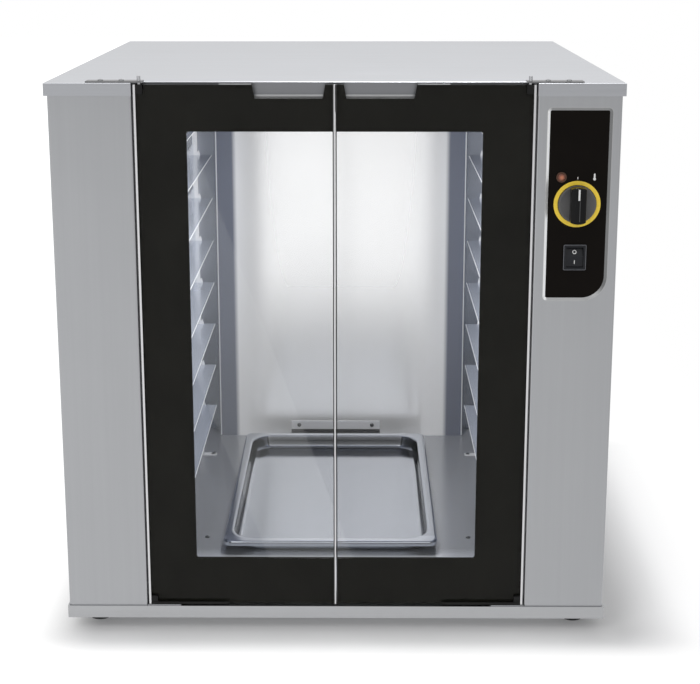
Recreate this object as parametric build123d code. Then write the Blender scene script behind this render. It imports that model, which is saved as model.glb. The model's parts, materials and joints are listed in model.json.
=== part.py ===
"""Free-standing dough proofing cabinet with two hinged glass doors.

Frame: millimetres, +X to the right, +Z up, the front faces -Y. The origin is on the
floor under the middle of the whole object, knob and cable gland included.
"""

import math
import os

from build123d import *

# ---------------------------------------------------------------- driving dimensions
# Cabinet shell
cabinet_width = 932.0  # across the two front columns
cabinet_depth = 910.0  # column face to the outside of the rear panel
column_height = 892.0
column_width = 137.0
column_return = 40.0  # how far a column's outer side runs back
column_bend = 3.0  # outside radius of a column's folded edges
sheet = 1.5  # outer steel sheet
liner = 1.2  # cavity and rack steel sheet
plinth_height = 22.0
plinth_overhang = 2.5
lid_height = 21.0
lid_overhang = 5.0  # at each side
lid_lip = 18.0  # flat lip under the lid's skirt
lid_bend = 1.3
panel_flange = 15.0  # inward flanges of the side panels
support_width = 40.0  # channels under the cavity floor
support_spacing = 190.0

# Feet
foot_height = 25.0
foot_radius = 20.0
foot_neck_radius = 15.0
foot_stem_radius = 5.0
foot_collar_radius = 13.0
foot_collar_height = 4.0
foot_stem_end = 4.0  # stem above the plinth sheet
foot_inset_x = 44.0  # foot centre to column side
foot_inset_y = 60.0  # foot centre to column face and to rear panel
hole_clearance = 0.1

# Front frame and cavity
door_zone = 20.0  # column face to the frame the doors close on
frame_depth = 25.0
jamb_show = 26.0  # jamb seen beside each column
jamb_width = 43.0
sill_height = 17.0
header_height = 29.0
cavity_step = 17.0  # cavity wall outside the opening
cavity_back_gap = 30.0  # cavity back sheet to the outside of the rear panel

# Baffle, pan stop and heating element
baffle_side_gap = 41.0
baffle_depth = 46.0
baffle_top_gap = 30.0
baffle_bend = 6.0  # outside radius where its sides fold back
pan_stop_width = 203.0
pan_stop_leg = 30.0
pan_stop_reach = 20.0
pan_stop_lip = 8.0
pan_stop_lift = 5.0  # lip's lower edge above the floor
pan_offset_x = -13.0  # pan and its stop sit a little left of the middle
heater_radius = 4.0
heater_bend = 30.0
heater_half_width = 150.0
heater_low = 90.0  # above the cavity floor
heater_top_gap = 196.0  # below the cavity ceiling
heater_stand_off = 22.0

# Tray rack
rack_pitch = 92.5
rack_first = 117.0  # first runner above the cavity floor
rack_top_room = 70.0  # least room over the top runner
runner_flange = 39.0
runner_web = 25.0
runner_length = 592.0
runner_front = 110.0  # runner's front end behind the column face
upright_width = 10.0
upright_depth = 12.0
upright_clearance = 7.0  # upright to cavity wall
upright_top_gap = 40.0
upright_foot = 28.0
upright_foot_thick = 2.0
stud_inset = 53.0  # floor studs in from the uprights
stud_depth = 255.0  # floor studs behind the column face

# Doors
door_side_gap = 3.0
door_bottom_gap = 3.0
door_top_drop = 3.0  # door top below the lid's top
door_middle_gap = 3.0
glass_thickness = 6.0
glass_lift = 1.0  # glass above the door's lower edge
print_thickness = 0.5  # black enamel on the back of the glass
window_side_border = 84.5
window_bottom_border = 85.7
window_top_border = 77.0
window_corner = 4.0
edge_strip = 3.4
edge_depth = 14.0
meeting_trim = 1.7
meeting_nose = 2.2
meeting_nose_depth = 8.0
notch_top_width = 118.5
notch_bottom_width = 110.0
notch_height = 22.3
notch_inset = 15.0  # from the doors' meeting line
notch_corner = 2.0
gasket_width = 7.0
gasket_seat_gap = 0.5
gasket_outset = 0.5  # gasket's inner edge outside the opening
gasket_drop = 3.0  # gasket clear of the sill's and header's edges

# Door hinges and catches
pin_radius = 3.0
pin_clearance = 0.05
pin_inset_x = 12.0  # pin to column's inner side
pin_inset_y = 6.5  # pin behind the door's face
pin_engagement = 12.0
pin_head_rise = 8.0
pivot_width = 11.6
pivot_height = 15.0
pivot_depth = 13.0
shoe_length = 124.0
shoe_height = 4.0
shoe_lip = 0.8
shoe_back = 1.5
hinge_plate_length = 92.0
hinge_plate_depth = 24.0
hinge_plate_thickness = 2.5
hinge_foot_length = 58.0
hinge_foot_depth = 17.0
catch_inset = 135.0  # from the middle of the cabinet
catch_width = 52.0
catch_thickness = 1.0
catch_leg = 35.0
magnet_width = 32.0
magnet_height = 11.0
magnet_gap = 0.5
magnet_lift = 15.0  # above the header's lower edge

# Control panel on the right column
plate_width = 96.6
plate_height = 312.7
plate_inset = 21.0  # from the column's inner side
plate_drop = 23.3  # below the column's top
plate_corner = 3.0
plate_big_corner = 37.0
plate_thickness = 1.0
bezel_width = 5.5
bezel_recess = 2.5
bezel_back = 1.5
bezel_flange = 6.0
knob_inset = 47.8  # from the plate's left edge
knob_drop = 154.2  # below the plate's top edge
knob_radius = 31.5
knob_skirt = 5.0
knob_grip_width = 25.0
knob_reach = 22.0  # knob's front before the column face
knob_gap = 0.6
knob_edge = 1.2
pointer_width = 3.0
pointer_length = 18.0
pointer_thickness = 0.7
pointer_sink = 0.4
ring_clearance = 0.5
ring_width = 6.5
ring_thickness = 1.6
shaft_radius = 3.0
shaft_fit = 0.02
shaft_in_knob = 14.0
shaft_in_thermostat = 18.0
shaft_hole_radius = 4.5
thermostat_side = 46.0
thermostat_depth = 34.0
lamp_inset = 21.0
lamp_drop = 109.7
lamp_bezel_radius = 8.5
lamp_bezel_thickness = 2.0
lamp_lens_radius = 6.0
lamp_dome = 2.0
lamp_body_depth = 24.0
lamp_body_wall = 1.0
switch_inset = 46.8
switch_drop = 243.7
switch_width = 37.5
switch_tall = 43.0
switch_rim = 2.5
switch_body_depth = 24.0
switch_body_inset = 3.0
rocker_width = 28.0
rocker_radius = 16.5
rocker_swing = 20.0  # degrees between O and I
rocker_face = 4.0  # ridge before the pivot at mid travel
rocker_back = 6.0
rocker_gap = 0.4
trunnion_radius = 2.0
trunnion_length = 1.6

# Water pan
pan_width = 400.0
pan_length = 600.0
pan_height = 27.0
pan_rim = 17.0
pan_rim_corner = 16.0
pan_lip = 4.0
pan_wall = 1.0
pan_basin_corner = 45.0
pan_taper = 12.0  # degrees
pan_rear_gap = 41.0  # rim to the pan stop
pan_seat_gap = 0.3

# Cable gland and rear panel
gland_inset = 56.0  # from the cabinet's right side
gland_height = 70.0  # above the plinth
gland_reach = 24.0
gland_bore_radius = 5.0
gland_thread_radius = 8.0
gland_hex_radius = 14.0
gland_hex_thickness = 7.0
gland_dome_radius = 10.5
gland_nut_thickness = 5.0
vent_count = 7
vent_length = 80.0
vent_height = 4.0
vent_pitch = 12.0
vent_inset = 81.0
vent_rise = 153.0  # lowest slot above the plinth

# Screws
screw_head_radius = 4.5
screw_head_height = 2.4
screw_shank_radius = 2.0
screw_shank_length = 4.0
rear_screw_inset = 8.0
rear_screw_rows = 4
plate_screw_step = 34.0

# ---------------------------------------------------------------- derived places
front_reach = knob_reach + pointer_thickness - pointer_sink  # pointer's face before the columns
overall_depth = front_reach + cabinet_depth + gland_reach
face_y = front_reach - overall_depth / 2  # column faces
rear_y = face_y + cabinet_depth
half_width = cabinet_width / 2
column_inner = half_width - column_width
plinth_top = foot_height + plinth_height
column_top = plinth_top + column_height
lid_top = column_top + lid_height

frame_y = face_y + door_zone
cavity_y = frame_y + frame_depth
cavity_end = rear_y - cavity_back_gap
opening_half = column_inner - jamb_show
cavity_half = opening_half + cavity_step
floor_z = plinth_top + sill_height
ceiling_z = column_top - header_height
baffle_y = cavity_end - baffle_depth
baffle_half = cavity_half - baffle_side_gap

runner_y = face_y + runner_front
runner_end = runner_y + runner_length
upright_outer = cavity_half - upright_clearance
upright_inner = upright_outer - upright_width
runner_outer = upright_inner + upright_width - liner

door_outer = column_inner - door_side_gap
door_bottom = plinth_top + door_bottom_gap
door_top = lid_top - door_top_drop
trim_inner = door_middle_gap / 2
glass_inner = trim_inner + meeting_trim
glass_outer = door_outer - edge_strip
print_back = face_y + glass_thickness + print_thickness
window_outer = door_outer - window_side_border
pin_x = column_inner - pin_inset_x
pin_y = face_y + pin_inset_y
pivot_inner = glass_outer - pivot_width
gasket_inner = opening_half + gasket_outset

plate_left = column_inner + plate_inset
plate_top = column_top - plate_drop
plate_z = plate_top - plate_height
plate_front = face_y + bezel_recess
bezel_rear = plate_front + plate_thickness + bezel_back
knob_x, knob_z = plate_left + knob_inset, plate_top - knob_drop
lamp_x, lamp_z = plate_left + lamp_inset, plate_top - lamp_drop
switch_x, switch_z = plate_left + switch_inset, plate_top - switch_drop
rocker_y = plate_front + rocker_face
gland_x, gland_z = half_width - gland_inset, plinth_top + gland_height

SIDES = (("left", -1), ("right", 1))


# ---------------------------------------------------------------- helpers
def block(x0, x1, y0, y1, z0, z1):
    """A box between two corners, given in any order."""
    size = (abs(x1 - x0), abs(y1 - y0), abs(z1 - z0))
    return Pos((x0 + x1) / 2, (y0 + y1) / 2, (z0 + z1) / 2) * Box(*size)


def slab(outline, y0, y1):
    """A flat outline in X and Z, thickened from y0 back to y1."""
    plane = Plane(origin=(0, y1, 0), x_dir=(1, 0, 0), z_dir=(0, -1, 0))
    return extrude(plane * outline, y1 - y0)


def rod(x, z, radius, y0, y1):
    """A round bar along Y."""
    return slab(Pos(x, z) * Circle(radius), y0, y1)


def post(x, y, radius, z0, z1):
    """A round bar along Z."""
    return Pos(x, y, (z0 + z1) / 2) * Cylinder(radius, z1 - z0)


def tube(x0, x1, y0, y1, z0, z1, wall, along):
    """A rectangular tube with open ends along one axis."""
    inset = {axis: 0 if axis == along else wall for axis in "xyz"}
    lo_x, hi_x = sorted((x0, x1))
    core = block(
        lo_x + inset["x"], hi_x - inset["x"],
        y0 + inset["y"], y1 - inset["y"],
        z0 + inset["z"], z1 - inset["z"],
    )
    return block(x0, x1, y0, y1, z0, z1) - core


def rounded(points, radii):
    """A closed flat outline with its own radius at each corner."""
    return make_face(FilletPolyline(*points, radius=radii, close=True))


def screw(axis_point, facing):
    """A pan-head screw: its head stands on axis_point and looks along facing."""
    head = Cylinder(screw_head_radius, screw_head_height, align=(Align.CENTER, Align.CENTER, Align.MIN))
    head = fillet(head.faces().sort_by(Axis.Z)[-1].edges(), screw_head_height * 0.6)
    shank = Cylinder(
        screw_shank_radius, screw_shank_length, align=(Align.CENTER, Align.CENTER, Align.MAX)
    )
    return Plane(origin=axis_point, z_dir=facing) * (head + shank)


def screw_hole(axis_point, facing):
    """The clearance hole that a screw's shank passes."""
    cutter = Cylinder(screw_shank_radius + hole_clearance, 3 * screw_shank_length)
    return Plane(origin=axis_point, z_dir=facing) * cutter


# ---------------------------------------------------------------- feet and shell
def foot_places():
    """Centres of the four feet."""
    x = half_width - foot_inset_x
    return [(sx * x, y) for sx in (-1, 1) for y in (face_y + foot_inset_y, rear_y - foot_inset_y)]


def make_foot(x, y):
    """A black boot on a threaded stem that stops against the plinth sheet."""
    seat = plinth_top - sheet
    boot = Pos(x, y, foot_height / 2) * Cone(foot_radius, foot_neck_radius, foot_height)
    stem = post(x, y, foot_stem_radius, foot_height, plinth_top + foot_stem_end)
    collar = post(x, y, foot_collar_radius, seat - foot_collar_height, seat)
    return boot + stem + collar


def make_plinth():
    """A shallow sheet tray, open downward, with a hole for each foot."""
    x = half_width + plinth_overhang
    y0, y1 = face_y - plinth_overhang, rear_y + plinth_overhang
    tray = block(-x, x, y0, y1, foot_height, plinth_top)
    tray -= block(-x + sheet, x - sheet, y0 + sheet, y1 - sheet, foot_height, plinth_top - sheet)
    for foot_x, foot_y in foot_places():
        tray -= post(foot_x, foot_y, foot_stem_radius + hole_clearance, foot_height, lid_top)
    return tray


def make_supports():
    """Three channels that carry the cavity floor on the plinth."""
    half = support_width / 2
    return [
        tube(x - half, x + half, cavity_y, cavity_end, plinth_top, floor_z - liner, sheet, "y")
        for x in (-support_spacing, 0, support_spacing)
    ]


def make_side_panel(side):
    """A flat side sheet with an inward flange at its front and rear edges."""
    y0, y1 = face_y + column_return, rear_y - sheet
    outer, inner = side * half_width, side * (half_width - sheet)
    flange = side * (half_width - panel_flange)
    panel = block(outer, inner, y0, y1, plinth_top, column_top)
    panel += block(inner, flange, y0, y0 + sheet, plinth_top, column_top)
    panel += block(inner, flange, y1 - sheet, y1, plinth_top, column_top)
    for point in rear_screw_places():
        panel -= screw_hole(point, (0, 1, 0))
    return panel


def make_column(side):
    """A folded front column, open to the rear."""
    y1 = face_y + column_return
    outer = block(side * column_inner, side * half_width, face_y, y1, plinth_top, column_top)
    front = outer.edges().filter_by(Axis.Z).group_by(Axis.Y)[0]
    outer = fillet(front, column_bend)
    core = block(
        side * (column_inner + sheet), side * (half_width - sheet),
        face_y + sheet, y1, plinth_top, column_top,
    )
    core = fillet(core.edges().filter_by(Axis.Z).group_by(Axis.Y)[0], column_bend - sheet)
    behind_frame = block(
        side * column_inner, side * (opening_half + jamb_width), frame_y, y1, plinth_top, column_top
    )
    column = outer - core - behind_frame
    if side > 0:
        column -= slab(panel_outline(bezel_width), face_y - 1, face_y + sheet)
    return column


def make_lid():
    """A cap on the columns, set back between them where the doors' tops stand."""
    x = half_width + lid_overhang
    y0, y1 = face_y - plinth_overhang, rear_y + plinth_overhang
    cap = block(-x, x, y0, y1, column_top, lid_top)
    cap -= block(-column_inner, column_inner, y0, frame_y, column_top, lid_top)
    rim = cap.faces().sort_by(Axis.Z)[-1].outer_wire().edges()
    cap = fillet(rim, lid_bend)
    low, high = column_top + sheet, lid_top - sheet
    hollow = block(-x + sheet, x - sheet, frame_y + sheet, y1 - sheet, low, high)
    for side in (-1, 1):
        hollow += block(
            side * (column_inner + sheet), side * (x - sheet), y0 + sheet, frame_y + sheet, low, high
        )
    hatch_x = half_width - lid_lip
    hatch = block(-hatch_x, hatch_x, cavity_y, rear_y - lid_lip, column_top, low)
    cap = cap - hollow - hatch
    for point in hinge_screw_places():
        cap -= screw_hole(point, (0, 0, 1))
    return cap


def rear_screw_places():
    """Screws down both sides of the rear panel."""
    step = (column_height - 2 * panel_flange) / (rear_screw_rows - 1)
    x = half_width - rear_screw_inset
    return [
        (sx * x, rear_y, plinth_top + panel_flange + step * row)
        for sx in (-1, 1)
        for row in range(rear_screw_rows)
    ]


def make_rear_panel():
    """The rear sheet with louvre slots and the hole for the cable gland."""
    panel = block(-half_width, half_width, rear_y - sheet, rear_y, plinth_top, column_top)
    for row in range(vent_count):
        z = plinth_top + vent_rise + row * vent_pitch
        slot = Pos(half_width - vent_inset, z) * SlotOverall(vent_length, vent_height)
        panel -= slab(slot, rear_y - 2 * sheet, rear_y + sheet)
    hole = gland_thread_radius + hole_clearance
    panel -= rod(gland_x, gland_z, hole, rear_y - 2 * sheet, rear_y + sheet)
    for point in rear_screw_places():
        panel -= screw_hole(point, (0, 1, 0))
    return panel


def make_gland():
    """A cable gland with its lock nut inside the rear panel."""
    z = gland_z
    hexagon = Pos(gland_x, z) * RegularPolygon(gland_hex_radius, 6)
    gland = slab(hexagon, rear_y, rear_y + gland_hex_thickness)
    dome = rod(gland_x, z, gland_dome_radius, rear_y + gland_hex_thickness, rear_y + gland_reach)
    dome = fillet(dome.faces().sort_by(Axis.Y)[-1].edges(), (gland_dome_radius - gland_bore_radius) / 2)
    nut_back = rear_y - sheet - gland_nut_thickness
    gland += dome + slab(hexagon, nut_back, rear_y - sheet)
    gland += rod(gland_x, z, gland_thread_radius, nut_back, rear_y)
    return gland - rod(gland_x, z, gland_bore_radius, nut_back, rear_y + gland_reach)


# ---------------------------------------------------------------- frame and cavity
def make_jamb(side):
    x0, x1 = side * opening_half, side * (opening_half + jamb_width)
    return tube(x0, x1, frame_y, cavity_y, plinth_top, column_top, sheet, "z")


def make_rail(z0, z1):
    """The frame's header or sill, a tube between the jambs."""
    return tube(-opening_half, opening_half, frame_y, cavity_y, z0, z1, sheet, "x")


def make_cavity():
    """Floor, ceiling, side walls and back of the proofing cavity."""
    low, high = floor_z - liner, ceiling_z + liner
    parts = {
        "cavity_floor": block(-cavity_half, cavity_half, cavity_y, cavity_end, low, floor_z),
        "cavity_ceiling": block(-cavity_half, cavity_half, cavity_y, cavity_end, ceiling_z, high),
        "cavity_back": block(-cavity_half, cavity_half, cavity_end, cavity_end + liner, low, high),
    }
    for x, y in stud_places():
        parts["cavity_floor"] -= screw_hole((x, y, floor_z), (0, 0, 1))
    for name, side in SIDES:
        inner, outer = side * cavity_half, side * (cavity_half + liner)
        parts[f"cavity_wall_{name}"] = block(inner, outer, cavity_y, cavity_end + liner, low, high)
    return parts


def make_baffle():
    """The smooth back panel, its sides folded back to the cavity's back sheet."""
    half, top = baffle_half, ceiling_z - baffle_top_gap
    outline = rounded(
        [(-half, cavity_end), (-half, baffle_y), (half, baffle_y), (half, cavity_end)],
        [0, baffle_bend, baffle_bend, 0],
    )
    inside = offset(outline, -liner)
    sheet_outline = outline - inside - Pos(0, cavity_end) * Rectangle(2 * (half - liner), 4 * liner)
    baffle = Pos(0, 0, floor_z) * extrude(sheet_outline, top - floor_z)
    for point in pan_stop_screw_places():
        baffle -= screw_hole((point[0], baffle_y, point[2]), (0, -1, 0))
    return baffle


def pan_stop_screw_places():
    z = floor_z + pan_stop_lift + pan_stop_leg - 2 * screw_head_radius
    reach = pan_stop_width / 2 - 4 * screw_head_radius
    return [(pan_offset_x + sx * reach, baffle_y - liner, z) for sx in (-1, 1)]


def make_pan_stop():
    """An angle on the baffle that stops the water pan, with a small turned-up lip."""
    x0, x1 = pan_offset_x - pan_stop_width / 2, pan_offset_x + pan_stop_width / 2
    z0 = floor_z + pan_stop_lift
    front = baffle_y - pan_stop_reach
    stop = block(x0, x1, baffle_y - liner, baffle_y, z0, z0 + pan_stop_leg)
    stop += block(x0, x1, front, baffle_y, z0, z0 + liner)
    stop += block(x0, x1, front, front + liner, z0, z0 + pan_stop_lip)
    for point in pan_stop_screw_places():
        stop -= screw_hole(point, (0, -1, 0))
    return stop


def make_heater():
    """A tubular element behind the baffle, both ends on the cavity's back sheet."""
    y = cavity_end - heater_stand_off
    z0, z1 = floor_z + heater_low, ceiling_z - heater_top_gap
    left, right = -heater_half_width, heater_half_width
    bend = min(heater_bend, heater_stand_off / 2)
    path = FilletPolyline(
        (left, cavity_end, z0), (left, y, z0), (left, y, z1), (right, y, z1), (right, y, z0),
        (right, cavity_end, z0),
        radius=[bend, heater_bend, heater_bend, bend],
    )
    start = Plane(origin=(left, cavity_end, z0), z_dir=(0, -1, 0))
    return sweep(start * Circle(heater_radius), path)


# ---------------------------------------------------------------- tray rack
def stud_places():
    """Floor studs, two near the front and two through the rear uprights' feet."""
    rear_x = upright_inner - upright_foot + 1.5 * screw_head_radius
    rear = [(sx * rear_x, runner_end + upright_depth / 2) for sx in (-1, 1)]
    front = [(sx * (upright_inner - stud_inset), face_y + stud_depth) for sx in (-1, 1)]
    return front + rear


def make_uprights(side):
    """Front and rear uprights of one side rack. Each turns inward as a foot on the floor."""
    x0, x1 = side * upright_inner, side * upright_outer
    solids = []
    for y in (runner_y - upright_depth, runner_end):
        bar = tube(x0, x1, y, y + upright_depth, floor_z, ceiling_z - upright_top_gap, liner, "z")
        if y == runner_end:
            toe = side * (upright_inner - upright_foot)
            bar += block(x0, toe, y, y + upright_depth, floor_z, floor_z + upright_foot_thick)
            for stud_x, stud_y in stud_places():
                bar -= screw_hole((stud_x, stud_y, floor_z), (0, 0, 1))
        solids.append(bar)
    return solids


def runner_heights():
    room = ceiling_z - floor_z - rack_first - rack_top_room
    levels = 1 + int(room / rack_pitch)
    return [floor_z + rack_first + level * rack_pitch for level in range(levels)]


def make_runners(side):
    """Angle runners of one side: a flat flange for the tray and a web up the outside."""
    inner, outer = side * (runner_outer - runner_flange), side * runner_outer
    solids = []
    for z in runner_heights():
        angle = block(inner, outer, runner_y, runner_end, z - liner, z)
        web = block(outer, outer - side * liner, runner_y, runner_end, z, z + runner_web)
        solids.append(angle + web)
    return solids


# ---------------------------------------------------------------- doors
def notch_outline(side):
    """The finger notch in a door's top edge, slightly wider at the top."""
    near = notch_inset
    far = near + notch_top_width
    ease = (notch_top_width - notch_bottom_width) / 2
    z0, z1 = door_top - notch_height, door_top + notch_height
    ease_high = ease * (z1 - z0) / notch_height
    points = [
        (side * (near + ease), z0),
        (side * (far - ease), z0),
        (side * (far - ease + ease_high), z1),
        (side * (near + ease - ease_high), z1),
    ]
    return rounded(points, [notch_corner] * 4)


def pane_outline(side):
    """A door's glass, less its pivot corners."""
    height = door_top - door_bottom - glass_lift
    middle = side * (glass_inner + glass_outer) / 2
    pane = Pos(middle, door_bottom + glass_lift + height / 2) * Rectangle(
        glass_outer - glass_inner, height
    )
    corner_x = side * (pivot_inner + glass_outer) / 2
    for z in (door_bottom + pivot_height / 2, door_top - pivot_height / 2):
        pane -= Pos(corner_x, z) * Rectangle(glass_outer - pivot_inner, pivot_height)
    return pane - notch_outline(side)


def window_outline(side):
    """The clear window, which runs on past the doors' meeting edge."""
    z0, z1 = door_bottom + window_bottom_border, door_top - window_top_border
    near, far = side * (glass_inner - window_corner * 2), side * window_outer
    return rounded([(near, z0), (far, z0), (far, z1), (near, z1)], [window_corner] * 4)


def make_gasket(side):
    """A rubber seal round a door's outer, top and bottom edges."""
    y0, y1 = print_back, frame_y - gasket_seat_gap
    z0, z1 = floor_z - gasket_drop - gasket_width, ceiling_z + gasket_drop + gasket_width
    far = side * (gasket_inner + gasket_width)
    near = side * (glass_inner + meeting_trim)
    ring = block(near, far, y0, y1, z0, z1)
    return ring - block(
        near, side * gasket_inner, y0, y1, z0 + gasket_width, z1 - gasket_width
    )


def make_pivots(side):
    """The door's two corner pivots, the lower one running on as a glass shoe."""
    inner, outer = side * pivot_inner, side * glass_outer
    bore = pin_radius + pin_clearance
    solids = []
    for z0, z1 in ((door_bottom, door_bottom + pivot_height), (door_top - pivot_height, door_top)):
        solids.append(block(inner, outer, face_y, face_y + pivot_depth, z0, z1))
    end = side * (pivot_inner - shoe_length)
    shoe_top = door_bottom + shoe_height
    shoe = block(inner, end, face_y, print_back + shoe_back, door_bottom, shoe_top)
    shoe -= block(inner, end, face_y, print_back, door_bottom + glass_lift, shoe_top)
    shoe += block(outer, end, face_y - shoe_lip, face_y, door_bottom, shoe_top)
    solids[0] += shoe
    hole = post(side * pin_x, pin_y, bore, door_bottom, door_bottom + pin_engagement + 1)
    solids[0] -= hole
    hole = post(side * pin_x, pin_y, bore, door_top - pin_engagement - 1, door_top)
    solids[1] -= hole
    return solids


def make_catch(side):
    """A steel plate folded over the door's top edge, which the magnet holds."""
    x0, x1 = side * catch_inset, side * (catch_inset + catch_width)
    back = print_back + catch_thickness
    plate = block(x0, x1, print_back, back, door_top - catch_leg, door_top)
    return plate + block(x0, x1, face_y, back, door_top, door_top + catch_thickness)


def make_door(name, side):
    """All pieces of one door, by node name."""
    pane = pane_outline(side)
    edge = (door_bottom, door_top)
    y1 = face_y + edge_depth
    parts = {
        "glass": slab(pane, face_y, face_y + glass_thickness),
        "print": slab(pane - window_outline(side), face_y + glass_thickness, print_back),
        "edge_strip": block(side * glass_outer, side * door_outer, face_y, y1, *edge),
        "meeting_trim": block(side * trim_inner, side * glass_inner, face_y, y1, *edge),
        "gasket": make_gasket(side),
        "pivots": make_pivots(side),
        "catch": make_catch(side),
    }
    if side < 0:
        parts["meeting_nose"] = block(
            -trim_inner, meeting_nose - trim_inner, face_y, face_y + meeting_nose_depth, *edge
        )
    return {f"door_{name}_{piece}": shape for piece, shape in parts.items()}


# ---------------------------------------------------------------- hinges on the cabinet
def hinge_screw_places():
    """Two screws in each top hinge plate."""
    y = face_y + hinge_plate_depth / 2
    x = column_inner + plate_screw_step / 2
    return [(s * (x + step), y, lid_top) for s in (-1, 1) for step in (0, plate_screw_step)]


def make_hinge_plate(side):
    """The plate on the lid that reaches over the door's outer top corner."""
    near = pin_x - 2 * pin_radius
    z0, z1 = lid_top, lid_top + hinge_plate_thickness
    x0, x1 = side * near, side * (near + hinge_plate_length)
    plate = block(x0, x1, face_y, face_y + hinge_plate_depth, z0, z1)
    plate -= post(side * pin_x, pin_y, pin_radius + pin_clearance, z0, z1)
    for x, y, z in hinge_screw_places():
        plate -= screw_hole((x, y, z1), (0, 0, 1))
    return plate


def make_hinge_foot(side):
    """The plate on the plinth under the door's outer lower corner."""
    z0, z1 = plinth_top, plinth_top + sheet
    x0, x1 = side * column_inner, side * (column_inner - hinge_foot_length)
    plate = block(x0, x1, face_y, face_y + hinge_foot_depth, z0, z1)
    return plate - post(side * pin_x, pin_y, pin_radius + pin_clearance, z0, z1)


def make_pins():
    """Upper and lower hinge pins of both doors."""
    top = lid_top + hinge_plate_thickness
    solids = []
    for side in (-1, 1):
        x = side * pin_x
        solids.append(post(x, pin_y, pin_radius, door_top - pin_engagement, top + pin_head_rise))
        solids.append(post(x, pin_y, pin_radius, plinth_top, door_bottom + pin_engagement))
    return solids


def make_magnets():
    """Door magnets on the frame's header, one behind each catch plate."""
    z0 = ceiling_z + magnet_lift
    y0 = print_back + catch_thickness + magnet_gap
    middle = catch_inset + catch_width / 2
    half = magnet_width / 2
    return [
        block(s * (middle - half), s * (middle + half), y0, frame_y, z0, z0 + magnet_height)
        for s in (-1, 1)
    ]


# ---------------------------------------------------------------- control panel
def panel_outline(grow):
    """The control plate's outline, grown all round by a margin."""
    x0, x1 = plate_left - grow, plate_left + plate_width + grow
    z0, z1 = plate_z - grow, plate_z + plate_height + grow
    small, big = plate_corner + grow, plate_big_corner + grow
    return rounded([(x0, z0), (x1, z0), (x1, z1), (x0, z1)], [small, big, small, small])


def panel_holes(y0, y1):
    """Cutters for the knob's shaft, the lamp and the switch."""
    inset = switch_body_inset - hole_clearance
    opening = Pos(switch_x, switch_z) * Rectangle(switch_width - 2 * inset, switch_tall - 2 * inset)
    return [
        rod(knob_x, knob_z, shaft_hole_radius, y0, y1),
        rod(lamp_x, lamp_z, lamp_lens_radius + lamp_body_wall + hole_clearance, y0, y1),
        slab(opening, y0, y1),
    ]


def make_bezel():
    """The stamped surround that slopes from the column face down to the plate."""
    bezel = slab(panel_outline(bezel_width), face_y, bezel_rear)
    bezel += slab(panel_outline(bezel_width + bezel_flange), face_y + sheet, bezel_rear)
    front = Plane(origin=(0, face_y, 0), x_dir=(1, 0, 0), z_dir=(0, -1, 0))
    floor = Plane(origin=(0, plate_front, 0), x_dir=(1, 0, 0), z_dir=(0, -1, 0))
    slope = loft([front * panel_outline(bezel_width - 1), floor * panel_outline(0)], ruled=True)
    bezel -= slope
    bezel -= slab(panel_outline(0), plate_front, plate_front + plate_thickness)
    for cutter in panel_holes(face_y, bezel_rear):
        bezel -= cutter
    return bezel


def make_plate():
    plate = slab(panel_outline(0), plate_front, plate_front + plate_thickness)
    for cutter in panel_holes(face_y, bezel_rear):
        plate -= cutter
    return plate


def make_thermostat():
    """The thermostat's case behind the panel, with a blind bore for the shaft."""
    half = thermostat_side / 2
    case = block(
        knob_x - half, knob_x + half, bezel_rear, bezel_rear + thermostat_depth,
        knob_z - half, knob_z + half,
    )
    bore = shaft_radius + pin_clearance
    return case - rod(knob_x, knob_z, bore, bezel_rear, bezel_rear + shaft_in_thermostat + 1)


def make_knob():
    """A round skirt with a bar grip across it, bored from behind for the shaft."""
    back, front = plate_front - knob_gap, face_y - knob_reach
    skirt = rod(knob_x, knob_z, knob_radius, back - knob_skirt, back)
    skirt = fillet(skirt.faces().sort_by(Axis.Y)[0].edges(), knob_edge)
    grip = rod(knob_x, knob_z, knob_radius - knob_edge, front, back - knob_skirt / 2)
    half = knob_grip_width / 2
    bar = block(
        knob_x - half, knob_x + half, front, back,
        knob_z - knob_radius, knob_z + knob_radius,
    )
    grip = grip & bar
    grip = fillet(grip.faces().sort_by(Axis.Y)[0].edges(), knob_edge)
    knob = skirt + grip
    knob -= rod(knob_x, knob_z, shaft_radius + shaft_fit, back - shaft_in_knob, back)
    return knob - pointer_slot()


def pointer_slot():
    """The groove at the top of the grip that holds the pointer."""
    front = face_y - knob_reach
    top = knob_z + knob_radius - 3 * knob_edge
    half = pointer_width / 2
    return block(
        knob_x - half, knob_x + half, front - 1, front + pointer_sink, top - pointer_length, top
    )


def make_pointer():
    front = face_y - knob_reach + pointer_sink
    top = knob_z + knob_radius - 3 * knob_edge
    half = pointer_width / 2
    return block(
        knob_x - half, knob_x + half, front - pointer_thickness, front, top - pointer_length, top
    )


def make_shaft():
    end = bezel_rear + shaft_in_thermostat
    return rod(knob_x, knob_z, shaft_radius, plate_front - knob_gap - shaft_in_knob, end)


def make_ring():
    inner = knob_radius + ring_clearance
    ring = Pos(knob_x, knob_z) * (Circle(inner + ring_width) - Circle(inner))
    return slab(ring, plate_front - ring_thickness, plate_front)


def make_lamp():
    """The indicator lamp's bezel with its body, and its domed lens."""
    front = plate_front - lamp_bezel_thickness
    bezel = rod(lamp_x, lamp_z, lamp_bezel_radius, front, plate_front)
    body = lamp_lens_radius + lamp_body_wall
    bezel += rod(lamp_x, lamp_z, body, plate_front, plate_front + lamp_body_depth)
    seat = plate_front + plate_thickness
    bezel -= rod(lamp_x, lamp_z, lamp_lens_radius, front, seat)
    lens = rod(lamp_x, lamp_z, lamp_lens_radius, front - lamp_dome, seat)
    lens = fillet(lens.faces().sort_by(Axis.Y)[0].edges(), lamp_dome)
    return bezel, lens


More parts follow.
